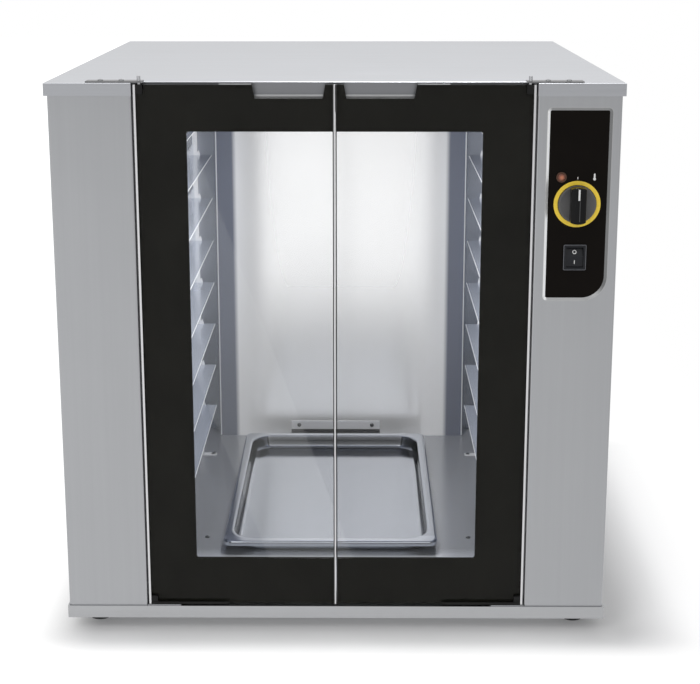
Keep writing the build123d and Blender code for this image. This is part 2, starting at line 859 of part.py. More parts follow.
def make_switch():
    """The rocker switch: its frame and case, and the rocker on two trunnions."""
    front = plate_front - switch_rim
    frame = slab(Pos(switch_x, switch_z) * RectangleRounded(switch_width, switch_tall, 2), front, plate_front)
    half_w = switch_width / 2 - switch_body_inset
    half_h = switch_tall / 2 - switch_body_inset
    frame += block(
        switch_x - half_w, switch_x + half_w, plate_front, plate_front + switch_body_depth,
        switch_z - half_h, switch_z + half_h,
    )
    well_w, well_h = rocker_width / 2 + rocker_gap, rocker_radius + rocker_gap
    tilt = rocker_swing / 2
    floor = rocker_y + rocker_back + rocker_radius * math.sin(math.radians(tilt)) + rocker_gap
    frame -= block(
        switch_x - well_w, switch_x + well_w, front, floor, switch_z - well_h, switch_z + well_h
    )
    pivot = Pos(switch_x, rocker_y, switch_z)
    reach = rocker_width + 2 * trunnion_length
    spin = Rot(0, 90, 0)
    frame -= pivot * spin * Cylinder(trunnion_radius + pin_clearance, reach + 2 * rocker_gap)
    drum = spin * Cylinder(rocker_radius, rocker_width)
    span = 2 * rocker_radius
    for turn in (tilt, -tilt):
        ahead = block(-span, span, -2 * span, 0, -span, span)
        ahead = Pos(0, -rocker_face, 0) * Rot(turn, 0, 0) * ahead
        half = block(-span, span, -2 * span, span, 0, -math.copysign(2 * span, turn))
        drum -= ahead & half
    drum -= block(-span, span, rocker_back, span, -span, span)
    drum += spin * Cylinder(trunnion_radius, reach)
    rocker = pivot * Rot(-tilt, 0, 0) * drum
    return frame, rocker


# ---------------------------------------------------------------- water pan
def make_pan():
    """A pressed pan with a flat rim, a turned-down lip and a tapered basin."""
    middle_y = baffle_y - pan_stop_reach - pan_rear_gap - pan_length / 2
    top = floor_z + pan_seat_gap + pan_height
    place = Pos(pan_offset_x, middle_y, top)

    def prism(width, length, corner, depth, taper=0.0):
        outline = RectangleRounded(width, length, corner)
        return Rot(180, 0, 0) * extrude(outline, depth, taper=taper)

    basin_w, basin_l = pan_width - 2 * pan_rim, pan_length - 2 * pan_rim
    pan = prism(pan_width, pan_length, pan_rim_corner, pan_lip)
    pan -= Pos(0, 0, -pan_wall) * prism(
        pan_width - 2 * pan_wall, pan_length - 2 * pan_wall, pan_rim_corner - pan_wall, pan_lip
    )
    pan += prism(basin_w + 2 * pan_wall, basin_l + 2 * pan_wall, pan_basin_corner, pan_height, pan_taper)
    pan -= prism(basin_w, basin_l, pan_basin_corner, pan_height - pan_wall, pan_taper)
    return place * pan


# ---------------------------------------------------------------- assembly
def make_screws():
    """Rear panel, hinge plate, pan stop and floor screws."""
    solids = [screw(point, (0, 1, 0)) for point in rear_screw_places()]
    top = lid_top + hinge_plate_thickness
    solids += [screw((x, y, top), (0, 0, 1)) for x, y, _ in hinge_screw_places()]
    solids += [screw(point, (0, -1, 0)) for point in pan_stop_screw_places()]
    for index, (x, y) in enumerate(stud_places()):
        lift = upright_foot_thick if index > 1 else 0
        solids.append(screw((x, y, floor_z + lift), (0, 0, 1)))
    return solids


def build_nodes():
    """Every node's solid or solids, by name."""
    nodes = {
        "base_plinth": make_plinth(),
        "feet": [make_foot(x, y) for x, y in foot_places()],
        "floor_supports": make_supports(),
        "roof_panel": make_lid(),
        "rear_panel": make_rear_panel(),
        "cable_gland": make_gland(),
        "frame_header": make_rail(ceiling_z, column_top),
        "frame_sill": make_rail(plinth_top, floor_z),
        "baffle_panel": make_baffle(),
        "pan_stop": make_pan_stop(),
        "heating_element": make_heater(),
        "hinge_pins": make_pins(),
        "catch_magnets": make_magnets(),
        "panel_bezel": make_bezel(),
        "control_plate": make_plate(),
        "thermostat": make_thermostat(),
        "dial_ring": make_ring(),
        "knob": make_knob(),
        "knob_pointer": make_pointer(),
        "knob_shaft": make_shaft(),
        "water_pan": make_pan(),
        "screws": make_screws(),
        **make_cavity(),
    }
    nodes["lamp_bezel"], nodes["lamp_lens"] = make_lamp()
    nodes["switch_frame"], nodes["switch_rocker"] = make_switch()
    for name, side in SIDES:
        nodes[f"side_panel_{name}"] = make_side_panel(side)
        nodes[f"column_{name}"] = make_column(side)
        nodes[f"frame_jamb_{name}"] = make_jamb(side)
        nodes[f"rack_uprights_{name}"] = make_uprights(side)
        nodes[f"rack_runners_{name}"] = make_runners(side)
        nodes[f"hinge_plate_{name}"] = make_hinge_plate(side)
        nodes[f"hinge_foot_{name}"] = make_hinge_foot(side)
        nodes.update(make_door(name, side))
    return nodes


def main():
    os.makedirs("parts", exist_ok=True)
    for name, shape in build_nodes().items():
        solids = shape if isinstance(shape, list) else [shape]
        solids = [solid for item in solids for solid in item.solids()]
        export_step(Compound(children=solids) if len(solids) > 1 else solids[0], f"parts/{name}.step")


main()
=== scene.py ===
import json
import math

import bmesh
import bpy
from mathutils import Matrix, Vector


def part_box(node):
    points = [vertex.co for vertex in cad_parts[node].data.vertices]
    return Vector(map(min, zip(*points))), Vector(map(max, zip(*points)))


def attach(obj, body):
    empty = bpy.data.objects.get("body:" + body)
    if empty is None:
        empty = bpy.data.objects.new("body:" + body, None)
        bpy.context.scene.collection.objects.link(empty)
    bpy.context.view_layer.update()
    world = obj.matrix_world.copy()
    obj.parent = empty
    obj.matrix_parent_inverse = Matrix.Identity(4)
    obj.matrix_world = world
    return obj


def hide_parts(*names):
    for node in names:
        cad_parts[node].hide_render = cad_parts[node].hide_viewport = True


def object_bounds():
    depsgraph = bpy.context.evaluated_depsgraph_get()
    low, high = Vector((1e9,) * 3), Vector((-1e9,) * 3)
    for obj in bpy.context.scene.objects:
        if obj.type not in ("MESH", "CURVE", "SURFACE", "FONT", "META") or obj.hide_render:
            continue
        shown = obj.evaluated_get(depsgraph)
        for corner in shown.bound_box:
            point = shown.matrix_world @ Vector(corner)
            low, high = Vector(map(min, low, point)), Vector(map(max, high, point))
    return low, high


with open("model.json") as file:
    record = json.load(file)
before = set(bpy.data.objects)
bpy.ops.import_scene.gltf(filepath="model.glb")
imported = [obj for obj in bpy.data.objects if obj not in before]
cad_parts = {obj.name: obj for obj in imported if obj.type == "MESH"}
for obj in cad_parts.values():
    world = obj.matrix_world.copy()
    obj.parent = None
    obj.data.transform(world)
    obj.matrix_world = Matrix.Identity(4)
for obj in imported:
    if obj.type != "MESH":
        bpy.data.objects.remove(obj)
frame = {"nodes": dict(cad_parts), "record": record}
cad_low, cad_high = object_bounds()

# Looks of a free-standing proofing cabinet with two glass doors. Metres, +X to the right,
# +Z up, the front faces -Y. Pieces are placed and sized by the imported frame's own boxes.

nodes = frame["nodes"]
mm = 0.001
column_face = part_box("column_left")[0].y
SIDES = (("left", -1), ("right", 1))

# ------------------------------------------------------------ camera and light
camera_side = 39 * mm
camera_distance = 2350 * mm  # in front of the columns
camera_height = 1199 * mm
camera_pitch = 12.67  # degrees, looking down
camera_yaw = 0.34
camera_lens = 74.8
camera_shift = -0.12
camera_reach = 60.0  # it sees nothing beyond

world_light = 0.5  # what diffuse surfaces get from all round
horizon_tone = 0.50  # the pale room that metal mirrors, at eye level
zenith_tone = 0.95
rise_end = 0.30  # height, as a share of straight up, where the room is palest
back_gain = 0.10  # how much paler the room is behind the cabinet than before it
back_rise = (-0.3, 0.6)  # shares of straight back between which it grows paler
floor_color = (0.72, 0.72, 0.725)
floor_half = 14.0
floor_lift = 0.09  # brings the lit floor up to white where it is looked at
floor_lift_mirrored = 0.45  # the same where metal mirrors it
floor_clear = (0.02, 0.17)  # how far beyond the cabinet the floor turns to plain white
floor_clear_aside = 0.08  # the kept shadow lies that much farther to the right
floor_clear_ahead = 1.8  # and ends that much sooner at the front and the back
floor_mirrored = (1.28, 0.90)  # the far floor as metal mirrors it, at the left and the right
floor_mirrored_half = 2.0  # where it has those tones

lamps = (  # name, place, size, watts
    ("key", (-1.8, -3.2, 3.4), 2.4, 32.0),
    ("fill", (2.4, -3.2, 2.6), 2.6, 16.0),
    ("top", (0.20, -0.26, 3.6), 0.40, 85.0),
)
lamps_target = Vector((0, 0, 0.45))
cavity_lamp_size = (0.22, 0.20)
cavity_lamp_watts = 5.5
cavity_lamp_behind_glass = 0.20
cavity_lamp_drop = 55 * mm  # below the cavity's ceiling
cavity_lamp_tilt = 25.0  # degrees, towards the back


# ------------------------------------------------------------ node helpers
class Nodes:
    """A node tree, with methods that add nodes to it."""

    def __init__(self, tree):
        self.tree = tree

    def new(self, kind, settings=None, **inputs):
        """A node of that kind, with its settings and with values or links for its inputs."""
        made = self.tree.nodes.new("ShaderNode" + kind)
        for key, value in (settings or {}).items():
            setattr(made, key, value)
        for key, value in inputs.items():
            self.feed(made.inputs[key.replace("_", " ")], value)
        return made

    def feed(self, socket, value):
        """Links a socket to an output, or sets its value."""
        if isinstance(value, bpy.types.NodeSocket):
            self.tree.links.new(value, socket)
        else:
            socket.default_value = value

    def math(self, operation, first, second=0.0):
        """The outcome of an operation on one or two values."""
        made = self.new("Math", {"operation": operation})
        self.feed(made.inputs[0], first)
        self.feed(made.inputs[1], second)
        return made.outputs[0]

    def times(self, first, second):
        """Two values multiplied."""
        return self.math("MULTIPLY", first, second)

    def vector(self, operation, first, second=(0.0, 0.0, 0.0)):
        """The node of an operation on vectors."""
        made = self.new("VectorMath", {"operation": operation})
        self.feed(made.inputs[0], first)
        self.feed(made.inputs[1], second)
        return made

    def span(self, value, low, high, to_low, to_high, kind="LINEAR"):
        """The value moved from one range to another and held inside it."""
        ramp = self.new(
            "MapRange", {"interpolation_type": kind}, Value=value,
            From_Min=low, From_Max=high, To_Min=to_low, To_Max=to_high
        )
        return ramp.outputs["Result"]

    def band(self, value, low, high, soft):
        """1 from low to high and 0 outside, each with a soft step after it."""
        begun = self.span(value, low, low + soft, 0.0, 1.0)
        return self.math("SUBTRACT", begun, self.span(value, high, high + soft, 0.0, 1.0))

    def blend(self, first, second, share):
        """The second value with that share and the first with the rest."""
        rest = self.times(first, 1 - share)
        return self.math("ADD", rest, self.times(second, share))

    def mix(self, share, first, second):
        """The first shader, turning into the second as the share goes to 1."""
        made = self.new("MixShader", Fac=share)
        self.feed(made.inputs[1], first)
        self.feed(made.inputs[2], second)
        return made.outputs[0]

    def looked_at(self):
        """1 for rays that see the background: from the camera, from gloss and through glass."""
        rays = self.new("LightPath").outputs
        plain = self.math("MAXIMUM", rays["Is Camera Ray"], rays["Is Glossy Ray"])
        return self.math("MAXIMUM", plain, rays["Is Transmission Ray"])


class Finish(Nodes):
    """A Principled material, with methods that add the nodes which vary it."""

    def __init__(self, name, color, roughness, metallic=0.0, **sockets):
        self.material = bpy.data.materials.new(name)
        self.material.use_nodes = True
        super().__init__(self.material.node_tree)
        self.shader = self.tree.nodes["Principled BSDF"]
        self.base = color
        values = {"Base Color": (*color, 1), "Roughness": roughness, "Metallic": metallic}
        values.update({key.replace("_", " "): value for key, value in sockets.items()})
        for key, value in values.items():
            self.shader.inputs[key].default_value = value

    def noise(self, per_metre, detail=2.0, rough=0.5, low=0.3, high=0.7):
        """Noise with its own density along X, Y and Z, spread over 0 to 1."""
        place = self.new("TexCoord").outputs["Object"]
        spread = self.new("Mapping", Vector=place, Scale=per_metre).outputs["Vector"]
        grain = self.new("TexNoise", Vector=spread, Scale=1.0, Detail=detail, Roughness=rough)
        return self.span(grain.outputs[0], low, high, 0.0, 1.0)

    def part(self, output, axis):
        """One axis of the object's own place ("Object") or of its surface direction ("Normal")."""
        return self.new("SeparateXYZ", Vector=self.new("TexCoord").outputs[output]).outputs[axis]

    def size(self, output, axis):
        """The same without its sign."""
        return self.math("ABSOLUTE", self.part(output, axis))

    def by_level(self, upright, level):
        """One value on upright faces that softly turns into another on level ones."""
        return self.span(self.size("Normal", "Z"), 0.2, 0.8, upright, level)

    def color_between(self, factor, dark, light):
        """Base colour that goes from dark to light with the factor."""
        mix = self.new("Mix", {"data_type": "RGBA"})
        self.feed(mix.inputs["Factor"], factor)
        for socket, color in zip((mix.inputs[6], mix.inputs[7]), (dark, light)):
            self.feed(socket, (*color, 1))
        self.feed(self.shader.inputs["Base Color"], mix.outputs[2])
        return mix.outputs[2]

    def shade(self, factor, change, dim=None):
        """Base colour that varies round its own value by a share, dimmed where asked."""
        dark = tuple(part * (1 - change) for part in self.base)
        light = tuple(part * (1 + change) for part in self.base)
        mixed = self.color_between(factor, dark, light)
        if dim:
            dimmed = self.vector("MULTIPLY", mixed, dim(self))
            self.feed(self.shader.inputs["Base Color"], dimmed.outputs["Vector"])

    def rough_between(self, factor, low, high):
        """Roughness that goes from low to high with the factor."""
        self.feed(self.shader.inputs["Roughness"], self.span(factor, 0.0, 1.0, low, high))

    def bump(self, height, depth, below=None):
        """Adds relief of a depth in metres, over any relief already there."""
        made = self.new("Bump", Height=height, Distance=depth, Strength=1.0)
        if below is not None:
            self.feed(made.inputs["Normal"], below)
        self.feed(self.shader.inputs["Normal"], made.outputs["Normal"])
        return made.outputs["Normal"]


def along(grain, across, lengthwise):
    """Noise density for lines that run along one axis."""
    return tuple(lengthwise if axis == grain else across for axis in "xyz")


baffle_margin = 42 * mm  # at each side, where a darker reflection is painted
baffle_margin_edge = 5 * mm  # half the width of its soft edge
# Painted reflection: the colour of the darker band at each side of the baffle
baffle_margin_reflection_tone = (0.20, 0.215, 0.265)
baffle_metallic = 0.95  # at the top of the middle
baffle_foot_metallic = 0.6
baffle_side_share = 0.4 / baffle_metallic  # what is left of it at the margins
baffle_side_fade = 120 * mm
notch_shade_band = (column_face + 5 * mm, column_face + 25 * mm)  # on the lid, behind the doors' notches, where shade is painted
# Painted shade: the tone behind the notches, and that of the roof's upright faces
notch_shade_tone = 0.54
roof_upright_shade_tone = 0.82
floor_shade_start = 20 * mm  # painted shade on the cavity floor begins that far before the pan
floor_shade_fade = 50 * mm
floor_shade_tone = 0.52
pan_painted_light_depth = 27 * mm  # the painted light along the front ends that far behind the pan's lip
# Painted light on the pan's front and painted shade on its upright walls
pan_painted_light_tone = 1.3
pan_wall_painted_shade = 0.16
stop_shade = 10 * mm  # height of the painted shade along the foot of the pan stop
stop_shade_tone = 0.12
bezel_painted_across = (0.40, 2.2)  # painted light and shade: tones of its right and its left slope
bezel_painted_up = (0.60, 0.80)  # and of its upper and its lower slope


def tilted(made, axis, low, high):
    """1 on faces square to an axis, low on faces turned against it and high on those along it."""
    toward = made.part("Normal", axis)
    against = made.span(toward, -0.5, -0.05, low, 1.0)
    along_it = made.span(toward, 0.05, 0.5, 1.0, high)
    return made.times(against, along_it)


def painted_bezel_light(made):
    """The pressed surround, with painted light and shade: its left and lower slopes lighter, the others
    darker.
    """
    return made.times(tilted(made, "X", *bezel_painted_across), tilted(made, "Z", *bezel_painted_up))


def painted_roof_shade(made):
    """Painted shade: upright faces are darker, most of all behind the doors' notches."""
    inside = made.band(made.part("Object", "Y"), *notch_shade_band, 5 * mm)
    wall = made.by_level(1.0, 0.0)
    notch_shade = made.span(made.times(inside, wall), 0.0, 1.0, 1.0, notch_shade_tone)
    return made.times(notch_shade, made.span(wall, 0.0, 1.0, 1.0, roof_upright_shade_tone))


def baffle_painted_reflection(made):
    """Painted reflection: the baffle's margins are darker than the rest. Towards them and its foot it
    mirrors less.
    """
    low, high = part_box("baffle_panel")
    middle = made.size("Object", "X")
    margin = high.x - baffle_margin
    upward = made.span(
        made.part("Object", "Z"), low.z, high.z, baffle_foot_metallic, baffle_metallic, "SMOOTHSTEP"
    )
    inward = made.span(middle, margin - baffle_side_fade, margin, 1.0, baffle_side_share, "SMOOTHSTEP")
    made.feed(made.shader.inputs["Metallic"], made.times(upward, inward))
    edge = (margin - baffle_margin_edge, margin + baffle_margin_edge)
    red, green, blue = (made.span(middle, *edge, 1.0, tone) for tone in baffle_margin_reflection_tone)
    return made.new("CombineXYZ", X=red, Y=green, Z=blue).outputs["Vector"]


def painted_floor_light(made):
    """Painted light and shade: the cavity's floor is lighter in front of the pan and darker from just
    before it backwards.
    """
    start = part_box("water_pan")[0].y - floor_shade_start
    return made.span(made.part("Object", "Y"), start, start + floor_shade_fade, 1.0, floor_shade_tone)


def painted_pan_light(made):
    """Painted light along the front, painted shade on the drawn walls behind it."""
    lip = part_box("water_pan")[0].y + pan_painted_light_depth
    walls = made.by_level(pan_wall_painted_shade, 1.0)
    front = made.span(made.part("Object", "Y"), lip, lip + 2 * mm, 1.0, 0.0)
    above_walls = made.math("SUBTRACT", pan_painted_light_tone, walls)
    return made.math("ADD", made.times(front, above_walls), walls)


def painted_stop_shade(made):
    """Painted shade: the pan stop's lip, its shelf and the foot of its leg are much darker than the
    rest.
    """
    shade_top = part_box("pan_stop")[0].z + stop_shade
    return made.span(made.part("Object", "Z"), shade_top, shade_top + 1 * mm, stop_shade_tone, 1.0)


def steel(name, tone, roughness, grain, streak=0.05, smear=0.5, dim=None, **sockets):
    """Brushed stainless sheet: fine lines, faint long streaks and smudges."""
    made = Finish(name, tone, roughness, metallic=1.0, **sockets)
    lines = made.noise(along(grain, 1100.0, 7.0), detail=3.0)
    streaks = made.noise(along(grain, 70.0, 0.9), detail=4.0, rough=0.6)
    smudges = made.noise((7.0, 7.0, 7.0), detail=4.0, rough=0.55)
    made.shade(made.blend(lines, streaks, 0.55), streak, dim)
    made.rough_between(made.blend(lines, smudges, smear), roughness * 0.82, roughness * 1.18)
    made.bump(lines, 0.006 * mm)
    return made.material


def polished(name, tone, roughness, grain, stain=0.02, wave=0.05, dim=None, **sockets):
    """Bright smooth sheet without brush lines: faint drawn streaks, wiped smears and orange peel."""
    made = Finish(name, tone, roughness, metallic=1.0, **sockets)
    streaks = made.noise(along(grain, 34.0, 0.8), detail=2.0, low=0.1, high=0.9)
    smears = made.noise((9.0, 9.0, 6.0), detail=3.0, low=0.1, high=0.9)
    made.shade(made.blend(streaks, smears, 0.5), stain, dim)
    made.rough_between(smears, roughness * 0.9, roughness * 1.12)
    ripples = made.bump(made.noise((4.0, 4.0, 2.5), detail=1.0, low=0.0, high=1.0), wave * mm)
    made.bump(made.noise((160.0, 160.0, 160.0), detail=1.0, low=0.0, high=1.0), 0.0003 * mm, ripples)
    return made.material


def plastic(name, color, roughness, grain=900.0, depth=0.004, **sockets):
    """Moulded plastic or paint: a fine texture and slightly uneven gloss."""
    made = Finish(name, color, roughness, **sockets)
    pores = made.noise((grain, grain, grain), detail=2.0)
    clouds = made.noise((22.0, 22.0, 22.0), detail=3.0)
    made.shade(clouds, 0.10)
    made.rough_between(clouds, roughness * 0.85, roughness * 1.15)
    made.bump(pores, depth * mm)
    return made.material


def rubber(name, color, roughness):
    """Black rubber: gritty, with a paler bloom in places."""
    made = Finish(name, color, roughness, Specular_IOR_Level=0.35)
    grit = made.noise((600.0, 600.0, 600.0), detail=4.0, rough=0.7)
    bloom = made.noise((35.0, 35.0, 35.0), detail=3.0)
    light = tuple(part * 1.8 + 0.006 for part in color)
    made.color_between(bloom, color, light)
    made.rough_between(grit, roughness - 0.1, min(1.0, roughness + 0.12))
    made.bump(grit, 0.03 * mm)
    return made.material


glare_slant = 0.36
glare_band = (-69 * mm, 78 * mm)  # a slanting band of painted reflection on the panes
glare_share = 0.02
clear_half = 241.5 * mm  # the part of the panes without enamel behind it
clear_heights = (135.5 * mm, 880.5 * mm)


def pane():
    """Clear flat glass, which mirrors a little where no enamel lies behind it, and at its edges, with a
    slanting painted reflection.

    Known fault: past 60 degrees from straight on, Fresnel makes the far face of the pane mirror fully.
    """
    made = Finish("Pane_clear", (0.96, 0.985, 0.975), 0.015, metallic=1.0)
    mirror = made.new("Fresnel", IOR=1.15).outputs[0]
    film = made.noise((6.0, 6.0, 3.0), detail=4.0, rough=0.6)
    haze = made.span(film, 0.0, 1.0, 0.0, 0.003)
    across, height = made.part("Object", "X"), made.part("Object", "Z")
    # A slanting band of painted reflection: the pane mirrors more there
    place = made.math("ADD", across, made.times(height, glare_slant))
    glare = made.times(made.band(place, *glare_band, 3 * mm), glare_share)
    share = made.math("ADD", made.math("ADD", mirror, haze), glare)
    middle, half = sum(clear_heights) / 2, (clear_heights[1] - clear_heights[0]) / 2
    beside = made.math("LESS_THAN", made.math("ABSOLUTE", across), clear_half)
    off_middle = made.math("ABSOLUTE", made.math("SUBTRACT", height, middle))
    clear = made.times(beside, made.math("LESS_THAN", off_middle, half))
    edge = made.math("LESS_THAN", made.size("Normal", "Y"), 0.5)
    seen = made.math("MAXIMUM", clear, edge)
    made.feed(made.shader.inputs["Alpha"], made.times(share, seen))
    made.rough_between(film, 0.01, 0.05)
    return made.material


def enamel():
    """Black enamel fired on the back of the glass, with the gloss of the glass before it."""
    made = Finish("Enamel_black", (0.0122, 0.0119, 0.0099), 0.12, Specular_IOR_Level=0.08)
    clouds = made.noise((14.0, 14.0, 9.0), detail=3.0)
    made.shade(clouds, 0.12)
    made.rough_between(clouds, 0.09, 0.15)
    return made.material


def lens():
    """Red-brown lamp lens with moulded facets and a paler middle where the lamp sits behind it."""
    made = Finish("Lamp_lens", (0.22, 0.055, 0.025), 0.2, Coat_Weight=0.25, Coat_Roughness=0.1)
    low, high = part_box("lamp_lens")
    middle = (low + high) / 2
    middle.y = low.y
    radius = (high.x - low.x) / 2
    place = made.new("TexCoord").outputs["Object"]
    cells = made.new("TexVoronoi", {"feature": "F1"}, Vector=place, Scale=620.0)
    facet = made.span(cells.outputs["Distance"], 0.0, 0.8, 0.0, 1.0)
    apart = made.vector("DISTANCE", place, middle).outputs["Value"]
    inward = made.span(apart, 0.25 * radius, 0.75 * radius, 1.0, 0.0)
    glow = made.times(inward, made.span(facet, 0.0, 1.0, 1.0, 0.7))
    made.color_between(glow, (0.17, 0.040, 0.016), (0.62, 0.20, 0.095))
    made.rough_between(facet, 0.12, 0.3)
    made.bump(facet, 0.12 * mm)
    return made.material


def ring_paint():
    """Yellow gloss of the dial ring."""
    made = Finish("Ring_yellow", (0.93, 0.66, 0.045), 0.32, Coat_Weight=0.15, Coat_Roughness=0.2)
    clouds = made.noise((90.0, 90.0, 90.0), detail=3.0)
    made.shade(clouds, 0.07)
    made.rough_between(clouds, 0.26, 0.4)
    made.bump(made.noise((700.0, 700.0, 700.0)), 0.004 * mm)
    return made.material


def heated_tube():
    """Dull oxidised heating tube, straw to brown along its length."""
    made = Finish("Heater_tube", (0.30, 0.26, 0.22), 0.45, metallic=1.0)
    stain = made.noise((18.0, 18.0, 11.0), detail=4.0, rough=0.6)
    made.color_between(stain, (0.16, 0.12, 0.10), (0.42, 0.38, 0.34))
    made.rough_between(stain, 0.35, 0.6)
    made.bump(made.noise((420.0, 420.0, 420.0), detail=3.0), 0.015 * mm)
    return made.material


FINISHES = {
    "outer_steel": steel("Steel_outer", (0.36, 0.366, 0.379), 0.34, "z", streak=0.03, Anisotropic=0.35),
    "plinth_steel": steel("Steel_plinth", (0.385, 0.39, 0.40), 0.34, "x"),
    "roof_steel": steel("Steel_roof", (0.47, 0.48, 0.505), 0.36, "x", smear=0.15, dim=painted_roof_shade),
    "cavity_steel": polished("Steel_cavity", (0.72, 0.74, 0.82), 0.20, "z", wave=0.08),
    "baffle_steel": polished(
        "Steel_baffle", (0.98, 0.983, 0.987), 0.20, "z", stain=0.012, wave=0.02, dim=baffle_painted_reflection,
        Anisotropic=0.88, Anisotropic_Rotation=0.25
    ),
    "stop_steel": polished("Steel_stop", (0.80, 0.81, 0.835), 0.35, "x", dim=painted_stop_shade, Metallic=0.3),
    "floor_steel": polished(
        "Steel_cavity_floor", (0.84, 0.865, 0.91), 0.20, "y", wave=0.06, dim=painted_floor_light, Metallic=0.6
    ),
    "back_steel": polished("Steel_back", (0.46, 0.485, 0.53), 0.24, "z", wave=0.1),
    "pan_steel": polished("Steel_pan", (0.52, 0.542, 0.59), 0.12, "y", wave=0.05, dim=painted_pan_light),
    "rack_steel": polished("Steel_rack", (0.62, 0.665, 0.755), 0.18, "y", wave=0.0, Metallic=0.62),
    "bright_edge": polished("Bright_edge", (0.85, 0.855, 0.87), 0.3, "z", wave=0.0, Metallic=0.3),
    "upright_steel": polished("Steel_upright", (0.92, 0.925, 0.94), 0.25, "z", wave=0.0, Metallic=0.45),
    "bezel_steel": steel("Steel_bezel", (0.40, 0.405, 0.41), 0.34, "z", streak=0.03, dim=painted_bezel_light),
    "frame_steel": steel("Steel_frame", (0.56, 0.565, 0.575), 0.32, "x"),
    "edge_metal": steel("Edge_metal", (0.60, 0.60, 0.61), 0.24, "z"),
    "bright_metal": steel("Bright_metal", (0.45, 0.455, 0.47), 0.26, "x"),
    "screw_steel": steel("Screw_steel", (0.24, 0.245, 0.25), 0.3, "x"),
    "plate_steel": steel("Steel_hinge_plate", (0.17, 0.17, 0.175), 0.36, "x"),
    "catch_steel": steel("Steel_catch", (0.26, 0.265, 0.27), 0.3, "x"),
    "pane": pane(),
    "black_enamel": enamel(),
    "seal_rubber": rubber("Rubber_seal", (0.016, 0.016, 0.016), 0.7),
    "hinge_metal": plastic("Hinge_black", (0.010, 0.010, 0.010), 0.45, Specular_IOR_Level=0.15),
    "magnet": plastic("Magnet_dark", (0.07, 0.07, 0.075), 0.55, depth=0.02),
    "panel_black": plastic(
        "Panel_black", (0.0055, 0.0042, 0.0034), 0.38, depth=0.003, Specular_IOR_Level=0.05
    ),
    "knob_black": plastic("Knob_skirt", (0.10, 0.099, 0.10), 0.55, grain=1400.0, depth=0.03),
    "grip_black": plastic(
        "Knob_grip", (0.0065, 0.0065, 0.007), 0.16, grain=1400.0, depth=0.002, Specular_IOR_Level=0.12
    ),
    # A pale strip on the grip: painted highlight
    "grip_highlight": plastic("Grip_highlight", (0.055, 0.056, 0.058), 0.25, depth=0.002),
    "ring_yellow": ring_paint(),
    "pointer_white": plastic("Mark_white", (0.82, 0.82, 0.81), 0.4),
    "lamp_amber": lens(),
    "switch_black": plastic("Switch_black", (0.007, 0.008, 0.011), 0.22, Specular_IOR_Level=0.25),
    # The pale line round the switch: painted highlight
    "switch_highlight": plastic("Switch_highlight", (0.12, 0.125, 0.14), 0.35, depth=0.002),
    "lamp_rim": plastic("Lamp_rim", (0.085, 0.038, 0.022), 0.35, Specular_IOR_Level=0.3),
    "case_grey": plastic("Thermostat_grey", (0.34, 0.34, 0.33), 0.55, depth=0.02),
    "gland_black": plastic("Gland_black", (0.025, 0.025, 0.025), 0.5, depth=0.02),
    "foot_black": rubber("Rubber_foot", (0.020, 0.020, 0.021), 0.6),
    "heater_steel": heated_tube(),
}

OWN_FINISH = {  # nodes whose sheet is finished apart from the rest of their slot
    "base_plinth": "plinth_steel",
    "baffle_panel": "baffle_steel",
    "cavity_floor": "floor_steel",
    "cavity_back": "back_steel",
    "rack_uprights_left": "upright_steel",
    "rack_uprights_right": "upright_steel",
    "pan_stop": "stop_steel",
    "lamp_bezel": "lamp_rim",
    "panel_bezel": "bezel_steel",
    "hinge_plate_left": "plate_steel",
    "hinge_plate_right": "plate_steel",
    "door_left_catch": "catch_steel",
    "door_right_catch": "catch_steel",
}


# ------------------------------------------------------------ frame finishes
def dress_nodes():
    """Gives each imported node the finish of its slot."""
    for entry in frame["record"]["subparts"]:
        name = entry["node"]
        set_finish(nodes[name], OWN_FINISH.get(name, entry["material_slot"]))


def set_finish(piece, finish):
    """Gives a piece that one finish."""
    piece.data.materials.clear()
    piece.data.materials.append(FINISHES[finish])


# ------------------------------------------------------------ mesh helpers
def add_piece(name, shape, finish, body, replaced=()):
    """Links a finished bmesh as a piece that rides on a body."""
    mesh = bpy.data.meshes.new(name)
    bmesh.ops.recalc_face_normals(shape, faces=shape.faces)
    shape.to_mesh(mesh)
    shape.free()
    mesh.polygons.foreach_set("use_smooth", [True] * len(mesh.polygons))
    mesh.set_sharp_from_angle(angle=math.radians(32))
    piece = bpy.data.objects.new(name, mesh)
    bpy.context.scene.collection.objects.link(piece)
    set_finish(piece, finish)
    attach(piece, body)
    if replaced:
        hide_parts(*replaced)
    return piece


def join_rings(shape, rings, looped=False):
    """Quads between rings of as many points. The last ring joins the first, or both are filled."""
    made = [[shape.verts.new(point) for point in ring] for ring in rings]
    pairs = list(zip(made, made[1:]))
    if looped:
        pairs.append((made[-1], made[0]))
    count = len(made[0])
    for lower, upper in pairs:
        for index in range(count):
            after = (index + 1) % count
            shape.faces.new((lower[index], lower[after], upper[after], upper[index]))
    if not looped:
        shape.faces.new(made[0])
        shape.faces.new(made[-1])


def solid(rings):
    """A closed solid through those rings, its faces turned outward."""
    shape = bmesh.new()
    join_rings(shape, rings)
    bmesh.ops.recalc_face_normals(shape, faces=shape.faces)
    return shape


def full_turn(count):
    """Directions all round, each as its share of X and of Y."""
    turns = [2 * math.pi * step / count for step in range(count)]
    return [(math.cos(turn), math.sin(turn)) for turn in turns]


